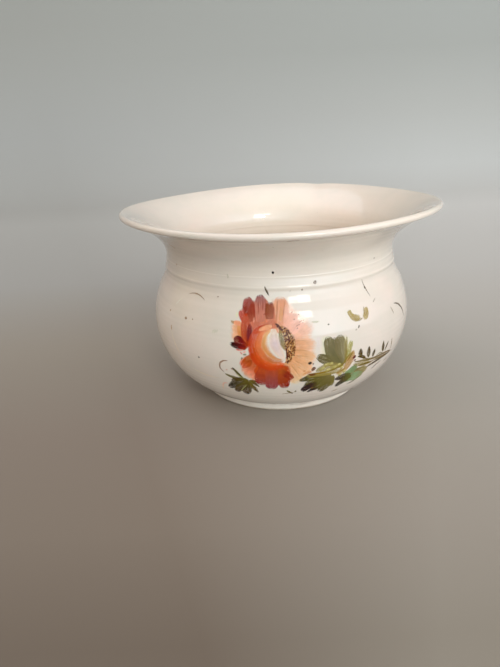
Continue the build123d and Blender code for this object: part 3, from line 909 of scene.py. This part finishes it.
def coral_petals():
    ground = tone(0.4, (176, 78, 50), (188, 98, 68), (222, 148, 118), fade=0.15)
    coral = tone(0.3, (176, 74, 48), (182, 90, 60), (220, 146, 116), fade=0.12)
    fire = tone(0.4, (156, 62, 40), (166, 66, 44), (188, 86, 66))
    umber = tone(0.4, (172, 90, 56), (164, 80, 52), dense=0.95)
    moss = tone(0.4, (92, 86, 48), (80, 74, 40), dense=0.85)
    dark = tone(0.4, (106, 44, 34), (94, 40, 28), dense=0.85)
    return [
        petal(-9, -8, -14.6, -13.4, -18.4, -22, 15, ground, 0.8, widest=0.6),
        petal(-11.6, -7.9, -16.1, -11.6, -21.9, -15, 9, coral),
        petal(-9.5, -10.6, -14, -16, -18.6, -23.6, 8.5, coral),
        petal(-7.5, -12.5, -10.7, -18.5, -13.6, -27.4, 8, coral),
        leaf(-12.7, -5.3, -15.3, -8.8, -20.9, -11.6, 4.2, umber),
        leaf(-14, -9.6, -17.1, -13.1, -20.9, -16.4, 5.6, fire),
        leaf(-17.4, -8.6, -20, -11.6, -21.6, -14.8, 2.4, fire),
        dot(-18.4, -6.6, 2.4, 1.4, 20, moss),
        dot(-20.5, -9.4, 2, 1.3, 70, moss),
        dot(-11.4, -27.2, 1.9, 1.3, -30, dark),
        dot(-16.7, -26.1, 2.3, 1.2, -30, moss),
    ]


def red_petals():
    base = tone(0.2, (182, 74, 44), (168, 66, 44), (158, 62, 44))
    deep = tone(0.2, (176, 68, 46), (144, 56, 46), (118, 54, 56))
    plum = tone(0.2, (170, 64, 44), (138, 60, 56), (118, 56, 64))
    brick = tone(0.2, (172, 68, 42), (140, 56, 36), (124, 46, 26))
    ember = tone(0.3, (160, 70, 40), (128, 48, 22), (134, 52, 26))
    return [
        leaf(-13.2, -15.4, -3.5, -21, 9.6, -15.6, 12, base, 0.4),
        leaf(-12.4, -19, -3, -26, 8.4, -22.6, 11, deep, 0.4),
        petal(-6.4, -13.5, -8.6, -20.5, -10.6, -28.8, 9.6, deep, 0.85),
        petal(3, -14.2, 4.3, -22.1, 5.6, -31.6, 9, brick, 0.9),
        petal(-2.2, -14.2, -2.8, -22.1, -2.9, -32.6, 10, plum, 0.9),
        petal(2.4, -17, 6.4, -19.3, 10.6, -24, 5.4, ember, 0.8),
    ]


def flower_cup():
    across = ((176, 62, 36), (190, 74, 44), (208, 98, 56), (216, 124, 74))
    outer = tone(0.22, (182, 72, 46), (174, 62, 34), (170, 66, 40), across=across, share=0.8)
    orange = tone(0.9, (226, 150, 100), (214, 116, 70), (204, 108, 64), (184, 100, 60), (176, 104, 68))
    gold = tone(0.85, (230, 172, 120), (214, 158, 96), (204, 138, 84), (196, 128, 76), (184, 126, 84))
    glow = tone(0.6, (230, 160, 116), (234, 168, 122), dense=0.9)
    spark = tone(0.6, (206, 82, 50), (200, 84, 52), dense=0.75)
    spine = through((-2.6, 11.6), (-10, 8), (-12.8, -0.9), (-9.6, -9.6), (-2.1, -14.2), (6.8, -12.2))
    middle = through((-1.6, 9.8), (-7.7, 6.4), (-9.4, -0.8), (-6.9, -6.9), (-0.8, -10.8), (5.6, -10.4))
    inner = through((-1.6, 9), (-5.6, 6.2), (-6.7, -0.1), (-4.1, -5.4), (0.5, -9), (4.9, -9.4))
    return [
        crescent(spine, outer, 0.3, 2.4, 4.6, 5.2, 4.6, 2.6),
        crescent(middle, orange, 0.4, 2, 3.4, 4.2, 3.4, 2),
        crescent(inner, gold, 0.4, 1.6, 2.8, 3.3, 2.4, 1.3),
        leaf(-10.1, 8.2, -5.8, 10.6, -1, 11, 3.8, glow),
        leaf(-11.7, -4, -10.6, -7.2, -8, -9.4, 2.6, spark),
    ]


def flower_eye():
    across = ((222, 196, 168), (212, 192, 194), (228, 206, 178))
    stops = ((224, 204, 168), (222, 200, 180), (210, 188, 194), (218, 192, 178), (220, 194, 164))
    milk = tone(0.2, *stops, across=across)
    return [crescent(bent((0.2, 9.8), (-2.3, 1.8), (5.8, -10)), milk, 0.25, 1.8, 3, 3.9, 3.3, 1.4)]


def stamen_dots():
    """Loose bowed rows of anther touches, over a thin olive and golden shadow beside the eye."""
    shadow = tone(0.4, (160, 104, 56), (144, 102, 54), (180, 130, 80), (194, 138, 86))
    moss = tone(0.5, (140, 120, 60), (108, 94, 42), (146, 116, 62), dense=0.9)
    brown = tone(0.25, (70, 38, 18), (84, 48, 24))
    cream = tone(0.35, (228, 196, 146), (224, 190, 140), dense=0.75)
    band = through((1.8, 10.9), (6.6, 8), (8.8, 2.7), (9.5, -2.8), (8.6, -7.9), (6.7, -12.6))
    marks = [
        stroke(band, leaf_half(7.2, 0.5), shadow),
        leaf(3.4, 9.6, 3.4, 2.9, 6.5, -4, 4.4, moss),
        leaf(0.2, 12.4, 2.1, 11.6, 3.5, 9.8, 1.5, brown),
        leaf(6.3, -0.8, 7.4, -6.5, 7.6, -12.6, 1.2, brown),
    ]
    chance = np.random.default_rng(11)
    for row in range(7):
        offset = -2.7 + 0.9 * row
        for share in np.linspace(0.12 - 0.02 * row, 0.95, 20 - abs(row - 3)):
            if chance.random() < 0.1:
                continue
            here = band(np.array([share, share + 0.02]))
            ahead = (here[1] - here[0]) / max(math.dist(*here), 1e-9)
            drift = offset * math.sin(math.pi * share) + chance.normal(0, 0.2)
            x, y = here[0] + np.array([ahead[1], -ahead[0]]) * drift + chance.normal(0, 0.15, 2)
            size = chance.uniform(0.65, 1.05)
            colour = brown if chance.random() < 0.8 else cream
            marks.append(dot(x, y, size * 1.7, size, chance.uniform(20, 150), colour))
    return marks


for node, low, strokes, material, slot in (
    ("peach_petals", 0.05, peach_petals(), PEACH_WASH, "peach_enamel"),
    ("pale_petals", 0.09, pale_petals(), PEACH_WASH, "pale_pink_enamel"),
    ("amber_petals", 0.09, amber_petals(), SMOOTH_SHADED, "amber_enamel"),
    ("coral_petals", 0.11, coral_petals(), FINE_STREAKED, "coral_enamel"),
    ("plum_petals", 0.13, plum_petals(), FINE_STREAKED, "plum_enamel"),
    ("maroon_petals", 0.16, maroon_petals(), SMOOTH_SHADED, "maroon_enamel"),
    ("red_petals", 0.16, red_petals(), SMOOTH_SHADED, "red_enamel"),
    ("flower_cup", 0.22, flower_cup(), SMOOTH_SHADED, "orange_enamel"),
    ("flower_eye", 0.25, flower_eye(), SMOOTH_SHADED, "lilac_enamel"),
    ("stamen_dots", 0.265, stamen_dots(), LINE_ENAMEL, "brown_enamel"),
):
    enamel_piece("enamel_" + node, low, strokes, material, slot, node)


# ---- leaves, stems and small marks


def dark_leaves():
    green = tone(0.18, (84, 78, 42), (76, 70, 34), (80, 74, 38))
    deep = tone(0.18, (68, 62, 28), (54, 52, 20), (42, 42, 14))
    mid = tone(0.18, (78, 70, 34), (62, 56, 24), (56, 48, 18))
    brown = tone(0.25, (88, 76, 42), (68, 56, 28))
    black = tone(0.15, (62, 54, 28), (36, 32, 14))
    light = tone(0.4, (136, 136, 88), (146, 146, 96), dense=0.75)
    return [
        leaf(-33.8, -22.3, -28.4, -24.9, -20.5, -25.9, 2.8, green),
        leaf(-27.1, -16.9, -24.4, -20.7, -19.4, -26.9, 2.5, green),
        dot(-26.9, -17.4, 1.9, 1.2, -50, black),
        petal(-18.3, -26, -23.9, -26.9, -34, -34.9, 6.4, deep),
        leaf(-17.3, -25.6, -23.4, -24.2, -30.5, -27.5, 3.6, mid),
        petal(-17.6, -26.4, -21.8, -30.5, -30.1, -38, 6, mid),
        petal(-16.6, -26, -19, -31.1, -22.6, -39.8, 6.8, mid),
        leaf(-17.5, -25.2, -14.4, -26.9, -11, -31.3, 2.8, brown),
        leaf(-17.6, -27.3, -15.4, -31, -12.6, -36.9, 3.8, brown),
        leaf(-17.1, -25.6, -14.2, -25, -10.9, -27.1, 1.8, brown),
        leaf(-19.7, -24.9, -23.2, -23.2, -26.2, -20.6, 0.9, light),
        leaf(-19.2, -29.2, -22.5, -32.5, -25.7, -37.2, 0.8, light),
    ]


def olive_leaves():
    sage = tone(0.1, (96, 92, 60), (102, 98, 68), (114, 108, 78))
    low = tone(0.1, (94, 88, 56), (96, 90, 60), (92, 86, 58))
    across = ((164, 156, 120), (96, 88, 56))
    shade = tone(0.1, (118, 112, 76), (112, 104, 70), (98, 88, 58), across=across)
    pale = tone(0.3, (132, 120, 76), (150, 140, 94), dense=0.85)
    light = tone(0.3, (150, 144, 84), (170, 164, 96), dense=0.9)
    halo = tone(0.7, (220, 218, 172), (222, 220, 180), dense=0.55)
    broad = tone(0.12, (106, 94, 58), (92, 84, 52), (80, 76, 46), (66, 62, 38))
    edge = tone(0.2, (104, 96, 54), (92, 84, 46))
    black = tone(0.12, (66, 62, 32), (42, 34, 16), (50, 40, 24))
    return [
        petal(38, -16.6, 30.9, -5.7, 31.2, 3.3, 13, halo),
        petal(43.8, -17.9, 45, -8.3, 42.4, 1.8, 10, halo),
        petal(42.7, -17.7, 33.7, -13.6, 25, -8.9, 7.6, low, widest=0.6),
        petal(42.7, -17.7, 33.7, -10.6, 32, -2, 8, low, widest=0.6),
        petal(41.5, -17.1, 32.2, -7, 32.3, 2.6, 8, sage, 0.5),
        petal(43.3, -17.6, 36.2, -7.8, 36, 1.4, 7, sage, 0.5),
        petal(44.4, -17.7, 38.8, -6.8, 40.6, 2.4, 8.4, shade, 0.5),
        leaf(44.6, -17, 43.3, -7.8, 43.6, 0, 3.2, pale),
        petal(45.9, -15, 46.4, -8.6, 48.2, -2.4, 4.2, light, 0.6),
        leaf(36.4, -25, 25.4, -22.4, 14, -26, 6.2, broad, 0.6),
        petal(36.4, -25.5, 27.5, -27, 18, -31.5, 8, broad),
        petal(36.5, -25.5, 30.1, -28.5, 22, -34.2, 10, broad),
        petal(36.4, -25.2, 34.7, -30.4, 29.7, -38.4, 8.2, broad),
        petal(35.8, -24.9, 37.7, -29.3, 37.1, -34.9, 5, edge),
        petal(27.3, -30, 21.5, -30.2, 16.7, -35.8, 6, black),
        leaf(28.2, -33.6, 24.8, -34.4, 20.5, -37.6, 3.2, black),
    ]


def teal_leaf():
    teal = tone(0.12, (74, 84, 50), (98, 120, 78), (114, 140, 100), (116, 118, 76))
    green = tone(0.3, (92, 114, 70), (108, 138, 96), (102, 118, 76))
    olive = tone(0.2, (112, 106, 64), (118, 112, 70), (140, 126, 82))
    dark = tone(0.12, (82, 86, 44), (58, 56, 26), (42, 42, 18))
    rim = tone(0.4, (64, 72, 40), (76, 84, 48), dense=0.85)
    return [
        petal(46, -27.8, 55.5, -27.2, 65.8, -28.2, 8, olive),
        petal(44.1, -32, 51.3, -29.7, 63.6, -31.4, 8.4, teal),
        petal(46.3, -27, 49.8, -25, 54.9, -22, 6.4, green),
        leaf(51.7, -27.5, 45.1, -27.9, 38.8, -29.2, 5.4, dark, 0.6),
        leaf(52.9, -29.6, 46.4, -31, 41.4, -36.8, 6.2, dark, 0.6),
        leaf(51.3, -37.3, 57, -36.4, 61.5, -32.8, 1.8, rim),
        leaf(49.5, -24.1, 53.6, -27.1, 60.6, -33.5, 1.2, green),
    ]


def stems():
    olive = tone(0.45, (132, 120, 72), (140, 126, 78), (136, 122, 76), dense=0.85)
    ochre = tone(0.3, (140, 106, 42), (118, 100, 42), (140, 124, 62))
    lime = tone(0.35, (150, 138, 78), (182, 172, 108), dense=0.95)
    shadow = tone(0.35, (128, 112, 54), (140, 124, 66), dense=0.9)
    shine = tone(0.5, (220, 210, 156), (224, 214, 164), dense=0.9)
    tan = tone(0.35, (166, 132, 84), (172, 136, 92), (186, 150, 108))
    brown = tone(0.25, (110, 98, 52), (104, 86, 46), (92, 72, 38))
    marks = [
        leaf(24.6, -19.8, 32, -15, 44.6, -19.6, 6.6, olive, 0.5),
        leaf(18.6, -22.2, 30, -22, 46, -22.4, 5, olive, 0.5),
        leaf(44.4, -24, 47.9, -16, 50, -9, 7, tan),
        leaf(38.9, -24.9, 42.3, -23, 46.9, -20.9, 3.6, tan),
        leaf(50.7, -20, 58.6, -21.5, 68.4, -23.6, 5, olive),
        stroke(
            through((20, -21.1), (27.8, -21.4), (35.6, -20.6), (42.5, -18.8), (45.4, -13.2), (49.5, -10)),
            leaf_half(1.9, 0.4),
            ochre,
        ),
        stroke(through((19.6, -23.7), (26.7, -23.1), (34.7, -23.1), (41, -23)), leaf_half(1.8, 0.5), shadow),
        leaf(44.6, -18.8, 44.4, -8.1, 45, 1.4, 1.5, shadow, 0.4),
        leaf(45.1, -16.8, 48, -13.2, 49.8, -9.4, 1.3, ochre),
        leaf(39, -23.8, 42.5, -23, 45.7, -20.7, 1.3, ochre),
        stroke(
            through((50.4, -18.2), (59.8, -19.4), (68.6, -20.9), (77.1, -20.8), (86, -21.6), (92, -23)),
            leaf_half(2.2, 0.5),
            brown,
        ),
        leaf(54.8, -22.4, 60.8, -22.6, 70.2, -22.9, 2.2, brown),
        leaf(68, -22.4, 76, -22.8, 90, -23.2, 2, brown),
    ]
    for x, y, tilt, size in (
        (28.8, -18.1, 25, 4.8), (31.2, -15.7, 20, 4.6), (34.1, -15.5, 10, 4.4), (36.8, -18.3, 5, 4.4),
        (39.7, -17.3, 15, 4.2), (42.4, -19.8, 30, 3.4), (32.7, -19.7, 20, 4.8), (42, -25.2, 15, 3.6),
        (45, -23.4, 30, 3.4),
    ):
        marks.append(dot(x, y, size, 2.6, tilt, lime))
        marks.append(dot(x + 0.3, y + 0.4, size * 0.5, 1, tilt, shine))
        marks.append(dot(x - 0.2, y - 1.2, size * 0.7, 0.8, tilt, shadow))
    return marks


def sprig_leaves():
    dark = tone(0.2, (92, 80, 44), (76, 64, 34), (80, 70, 40))
    thin = tone(0.4, (116, 100, 64), (104, 88, 56), dense=0.9)
    black = tone(0.3, (84, 70, 38), (54, 42, 20))
    return [
        leaf(57.4, -16.2, 55, -13.4, 55.6, -9.4, 3.8, dark),
        leaf(61.2, -18.6, 58, -15.4, 53.2, -15, 2.6, dark),
        leaf(63.6, -18.9, 62.4, -14.6, 62.6, -9.8, 3.6, dark),
        leaf(67.9, -19.6, 67.4, -16.8, 68.8, -13.6, 3, dark),
        leaf(78.6, -19.5, 77, -16, 76.8, -10.4, 3.2, dark),
        leaf(80.6, -19.5, 81, -16.4, 83.4, -12.8, 2, dark),
        leaf(89, -21.6, 88.6, -17, 87.4, -11.8, 1, thin),
        leaf(57.8, -18.3, 61, -17.5, 64.6, -20.7, 1.2, thin),
        leaf(71.1, -19.8, 74.1, -17.7, 79, -20.4, 1.2, thin),
        leaf(63, -26.4, 72, -24.2, 91, -23, 2.6, black),
        leaf(70.6, -30.4, 74.4, -28.4, 80, -26.4, 1, black),
        leaf(84.9, -29.4, 87.3, -28.9, 89.2, -27.7, 0.8, thin),
    ]


def tendrils():
    brown = tone(0.25, (100, 76, 58), (124, 96, 76), dense=0.9)
    rose = tone(0.3, (150, 106, 90), (172, 134, 116), dense=0.75)
    curl = through((-33.6, -21.4), (-36.4, -18.6), (-35.8, -14.6), (-33, -12.4), (-29.6, -12.2))
    root = through((-33.2, -30.6), (-36.6, -31), (-38.6, -34), (-40, -39))
    return [
        stroke(curl, leaf_half(1.3, 0.4), brown),
        stroke(root, leaf_half(1.4, 0.4), rose),
        dot(-31.6, -19, 1.6, 1.2, 30, rose),
        leaf(-28.8, -17.6, -27.6, -17.6, -26.8, -18.8, 1.1, brown),
    ]


def berries():
    red_brown = tone(0.25, (118, 54, 28), (76, 30, 14))
    black = tone(0.2, (32, 20, 10), (26, 18, 10))
    brown = tone(0.35, (104, 66, 36), (90, 54, 28))
    orange = tone(0.45, (200, 132, 82), (194, 124, 76), dense=0.9)
    return [
        dot(50.9, -14.6, 3.2, 2.5, 40, red_brown),
        dot(51.7, -16.9, 1.8, 1.4, 0, red_brown),
        dot(20.9, -13, 2.5, 2.4, 20, black),
        dot(22.9, -13.8, 1.2, 1.1, 0, brown),
        dot(23.3, -17.5, 3.6, 2.8, 50, brown),
        leaf(19.9, -20.8, 22.7, -22.7, 25.3, -21.1, 2.2, brown),
        dot(17.6, -18.3, 1.9, 1.6, 0, orange),
        leaf(16.4, -21.2, 19.3, -19.2, 22.7, -19.4, 2.4, orange),
    ]


def insect_strokes():
    straw = tone(0.3, (178, 160, 98), (168, 146, 84), (176, 158, 98), dense=0.95)
    dark = tone(0.4, (150, 130, 70), (144, 122, 64), dense=0.8)
    return [
        petal(48.6, 15.6, 50, 8.6, 56.8, 10.2, 4.6, straw),
        petal(62, 14.8, 64, 10.4, 58.4, 8.6, 4.8, straw),
        leaf(51.4, 10.4, 54, 7.8, 58.6, 9, 2.2, dark),
        leaf(61.2, 15.6, 60, 12.4, 60.8, 9.4, 1.4, dark),
    ]


def loose_strokes():
    """Thin dark strokes and stray touches away from the flower."""
    slate = tone(0.2, (98, 88, 70), (72, 62, 46), dense=0.95)
    faint = tone(0.35, (160, 146, 126), (142, 128, 108), dense=0.6)
    moss = tone(0.15, (90, 84, 52), (70, 62, 34))
    straw = tone(0.4, (192, 182, 144), (178, 170, 124), dense=0.6)
    return [
        leaf(-6.6, 33, -5.4, 30.2, -3.4, 26.8, 1.6, slate),
        leaf(6.6, -33.8, 8.4, -36, 11.6, -37.8, 1.8, moss),
        dot(12.8, -35.4, 2, 1.4, 50, moss),
        leaf(22.4, 12.2, 25, 11.6, 28.2, 12, 1.3, straw),
        dot(33.5, 9.5, 1.3, 1, 0, slate),
        dot(54.4, 4.6, 2.2, 1.2, 60, slate),
        dot(52.2, 3.2, 1.6, 1, 30, faint),
        leaf(92, 9.6, 103, 8.6, 108, -4, 1.5, slate),
        leaf(70, 15.6, 71.6, 17, 73.4, 17.6, 1.1, faint),
        leaf(87, 9.2, 89, 6.4, 90, 3.4, 1.4, faint),
        leaf(-79.4, 1, -74, -18, -62.3, -25.1, 0.9, faint),
        leaf(-62.3, -25.1, -52, -28.6, -37, -27.2, 0.9, faint),
    ]


def kiln_marks():
    """Iron specks, hair-thin scratches and dull smears left in the glaze by making and firing."""
    black = tone(0.25, (44, 34, 26), (38, 28, 20))
    umber = tone(0.4, (120, 98, 76), (110, 88, 66), dense=0.9)
    grey = tone(0.5, (160, 150, 134), (150, 138, 120), dense=0.6)
    sage = tone(0.6, (170, 168, 146), (164, 162, 138), dense=0.5)
    marks = [
        dot(x, y, length, width, tilt, paint)
        for x, y, length, width, tilt, paint in (
            (-0.6, 40.7, 1.9, 1.9, 0, black),
            (27.9, 33.5, 2.8, 2.4, 30, umber),
            (18.7, 29.9, 1.6, 1.3, 0, umber),
            (10.6, 29.5, 1.2, 1, 0, grey),
            (0.5, 59.1, 1.2, 1, 0, sage),
            (-87.5, 38.3, 1.6, 1.4, 0, umber),
            (-32.9, 37.8, 3.4, 2, 110, sage),
            (-40, 25, 1.2, 1, 0, umber),
            (-82.4, 10.1, 1.8, 1.4, 60, umber),
            (-63.5, 9.4, 2.4, 2, 0, umber),
            (-57.1, 9.9, 1.2, 1, 0, umber),
            (-52, -14.2, 1.4, 1.2, 0, black),
            (81, 40.6, 1.3, 1.1, 0, umber),
            (-38.4, 5.7, 5, 2.6, 20, sage),
            (-80.1, 52, 5.4, 2, -35, umber),
            (-46.3, -52, 6, 1.6, -10, grey),
            (67.2, 25, 2, 1.5, -70, black),
        )
    ]
    return marks + [
        leaf(-78.4, 1.8, -78.6, 0, -78.3, -2.2, 1.6, umber),
        leaf(-77.5, 15, -75, 17, -71.7, 20.4, 1.1, sage),
        leaf(-67.2, 23, -58, 26.6, -49.7, 21.5, 0.9, umber),
        leaf(7, 64.4, 10.2, 65.2, 13.6, 65.2, 1, umber),
        leaf(65.6, 30.5, 67.4, 25, 69.6, 18.9, 1, umber),
        leaf(40.6, -41.8, 43.1, -41.3, 46, -40.4, 0.9, umber),
        leaf(3.4, -37.6, 7.4, -37, 12.4, -36.4, 0.9, umber),
    ]


for node, low, strokes, material, slot in (
    ("dark_leaves", 0.10, dark_leaves(), LEAF_ENAMEL, "dark_green_enamel"),
    ("olive_leaves", 0.07, olive_leaves(), LEAF_ENAMEL, "olive_enamel"),
    ("teal_leaf", 0.10, teal_leaf(), LEAF_ENAMEL, "teal_enamel"),
    ("stems", 0.14, stems(), LINE_ENAMEL, "ochre_enamel"),
    ("sprig_leaves", 0.15, sprig_leaves(), LINE_ENAMEL, "dark_green_enamel"),
    ("tendrils", 0.11, tendrils(), LINE_ENAMEL, "brown_enamel"),
    ("berries", 0.20, berries(), LINE_ENAMEL, "brown_enamel"),
    ("insect_strokes", 0.11, insect_strokes(), SMOOTH_SHADED, "yellow_green_enamel"),
    ("loose_strokes", 0.09, loose_strokes(), LINE_ENAMEL, "dark_green_enamel"),
):
    enamel_piece("enamel_" + node, low, strokes, material, slot, node)
enamel_piece("kiln_marks", 0.06, kiln_marks(), LINE_ENAMEL, "brown_enamel", "outside_glaze")


# ---- floor, light and camera

CAMERA_PLACE = (-0.02365, -0.36293, 0.18573)
CAMERA_PITCH = 22.74
CAMERA_ROLL = -2.83
CAMERA_LENS = 36 * 500 / 667
# Paper colours with painted shade and light, by how far back and up they lie from the pot, at the left and
# right of the view: darkest at the front edge, lightest a little way behind the pot, dimmer again up the
# backdrop, and darker on the left than on the right
BACKDROP_ENDS = (-0.25, 2.3)
BACKDROP_SIDES = (-0.36, 0.34)
BACKDROP_SHADING_LEFT = (
    (-0.23, (111, 99, 86)),
    (-0.17, (128, 116, 103)),
    (-0.08, (137, 124, 112)),
    (0.06, (152, 143, 131)),
    (0.28, (167, 165, 160)),
    (0.75, (180, 179, 174)),
    (1.65, (168, 166, 161)),
    (2.2, (161, 157, 149)),
)
BACKDROP_SHADING_RIGHT = (
    (-0.23, (143, 136, 124)),
    (-0.17, (157, 150, 140)),
    (-0.08, (173, 167, 158)),
    (0.06, (180, 175, 167)),
    (0.28, (195, 193, 188)),
    (0.75, (214, 213, 209)),
    (1.3, (205, 205, 201)),
    (1.7, (186, 184, 178)),
    (2.05, (170, 168, 161)),
)


def studio_floor():
    """Pale floor that curves up into a backdrop far behind the pot, with painted shade and light: darker at
    the front and on the left, lighter further back and on the right.
    """
    near, far, top, bend = -2.6, 1.7, 2.4, 0.7
    line = [(near, 0.0), (far - bend, 0.0)]
    for angle in np.radians(np.linspace(-90, 0, 16)):
        line.append((far - bend + bend * math.cos(angle), bend + bend * math.sin(angle)))
    line.append((far, top))
    half = 3.2
    points = [(side * half, y, z) for y, z in line for side in (-1, 1)]
    faces = [(2 * k, 2 * k + 1, 2 * k + 3, 2 * k + 2) for k in range(len(line) - 1)]
    mesh = bpy.data.meshes.new("studio_floor")
    mesh.from_pydata(points, [], faces)
    mesh.shade_smooth()
    floor = linked("studio_floor", mesh)
    material, nodes, surface = new_material("studio_paper_painted_shade")
    x, y, z = nodes.add("SeparateXYZ", {0: nodes.place()}).outputs
    run = nodes.range(nodes.math("ADD", y, z), *BACKDROP_ENDS, 0, 1)
    spread = nodes.math("MAXIMUM", nodes.math("ADD", y, -CAMERA_PLACE[1]), 0.1)
    side = nodes.range(nodes.math("DIVIDE", x, spread), *BACKDROP_SIDES, 0, 1)
    first, last = BACKDROP_ENDS
    # Painted shade and light: these ramps make the paper darker at the front and on the left, lighter
    # further back and on the right.
    painted_paper_shading = []
    for stops in (BACKDROP_SHADING_LEFT, BACKDROP_SHADING_RIGHT):
        scaled = [((stop - first) / (last - first), linear(*colour)) for stop, colour in stops]
        painted_paper_shading.append(nodes.ramp(run, scaled))
    nodes.feed(surface, {"Base Color": nodes.mix(side, *painted_paper_shading), "Roughness": 0.7})
    mesh.materials.append(material)


def direction(azimuth, elevation):
    azimuth, elevation = math.radians(azimuth), math.radians(elevation)
    flat = math.cos(elevation)
    return Vector((math.sin(azimuth) * flat, -math.cos(azimuth) * flat, math.sin(elevation)))


POT_MIDDLE = Vector((0, 0, HEIGHT * MM * 0.6))
LAMP_DISTANCE = 1.6


def lamp(name, kind, aim, azimuth, elevation, **settings):
    """Light that shines on a point from a direction."""
    data = bpy.data.lights.new(name, kind)
    for key, value in settings.items():
        setattr(data, key, value)
    light = linked(name, data)
    light.location = aim + direction(azimuth, elevation) * LAMP_DISTANCE
    light.rotation_euler = (aim - light.location).to_track_quat("-Z", "Y").to_euler()


def window_pane(name, azimuths, elevations):
    """Rectangular light that covers a stretch of the view from the pot."""
    elevation = sum(elevations) / 2
    level = LAMP_DISTANCE * math.cos(math.radians(elevation))
    width = math.radians(azimuths[1] - azimuths[0]) * level
    height = math.radians(elevations[1] - elevations[0]) * LAMP_DISTANCE
    energy = PANE_RADIANCE * math.pi * width * height
    settings = {"shape": "RECTANGLE", "size": width, "size_y": height, "color": PANE_COLOUR}
    lamp(name, "AREA", POT_MIDDLE, sum(azimuths) / 2, elevation, energy=energy, **settings)


GLOW_FOCUS = 5
GLOWS = (
    ((-150, 8), (0.31, 0.43, 0.42)),
    ((-110, 8), (0.16, 0.12, 0.00)),
    ((0, 8), (1.21, 1.34, 1.38)),
    ((35, 8), (1.81, 2.16, 2.44)),
    ((70, 8), (0.66, 0.66, 0.66)),
    ((110, 8), (0.82, 0.47, 0.48)),
    ((-150, 38), (0.12, 0.32, 0.39)),
    ((-100, 38), (0.74, 0.46, 0.31)),
    ((-120, 68), (0.72, 0.76, 1.00)),
    ((0, 90), (0.66, 0.61, 0.43)),
)
PANE_RADIANCE = 9.0
PANE_COLOUR = (1.0, 0.93, 0.80)
# Small soft spot that passes over the front lip and reaches only the inside of the mouth
MOUTH_BACK = Vector((0.022, 0.085, 0.116))
MOUTH_SPOT = {
    "energy": 27,
    "spot_size": math.radians(6.4),
    "spot_blend": 1.0,
    "shadow_soft_size": 0.05,
    "color": (1.0, 0.94, 0.88),
}


def lights():
    """Two window panes near the camera's right, in a room of broad soft glows."""
    window_pane("window_left_pane", (5, 12.4), (29, 36))
    window_pane("window_right_pane", (13.4, 25), (20.3, 36))
    lamp("mouth_spot", "SPOT", MOUTH_BACK, 12, 22, **MOUTH_SPOT)
    world = bpy.data.worlds.new("studio_world")
    bpy.context.scene.world = world
    world.use_nodes = True
    nodes = Nodes(world.node_tree)
    view = nodes.add("TexCoord").outputs["Generated"]
    total = (0, 0, 0)
    for aim, radiance in GLOWS:
        facing = nodes.vector("DOT_PRODUCT", {0: view, 1: direction(*aim)})["Value"]
        strength = nodes.math("POWER", nodes.math("MAXIMUM", facing), GLOW_FOCUS)
        glow = nodes.vector("SCALE", {0: radiance, "Scale": strength})[0]
        total = nodes.vector("ADD", {0: total, 1: glow})[0]
    nodes.feed(world.node_tree.nodes["Background"], {"Color": total})


def camera():
    """Camera a little left of the painted side and above the rim, tipped down and slightly rolled."""
    roll = math.radians(CAMERA_ROLL)
    ahead = direction(180, -CAMERA_PITCH)
    level_up = direction(180, 90 - CAMERA_PITCH)
    right = Vector((1, 0, 0)) * math.cos(roll) + level_up * math.sin(roll)
    up = right.cross(ahead)
    data = bpy.data.cameras.new("camera")
    data.lens = CAMERA_LENS
    data.clip_start = 0.01
    lens = linked("camera", data)
    axes = Matrix((right, up, -ahead)).transposed().to_4x4()
    lens.matrix_world = Matrix.Translation(CAMERA_PLACE) @ axes
    bpy.context.scene.camera = lens


studio_floor()
lights()
camera()
bpy.context.scene.view_settings.view_transform = "Standard"
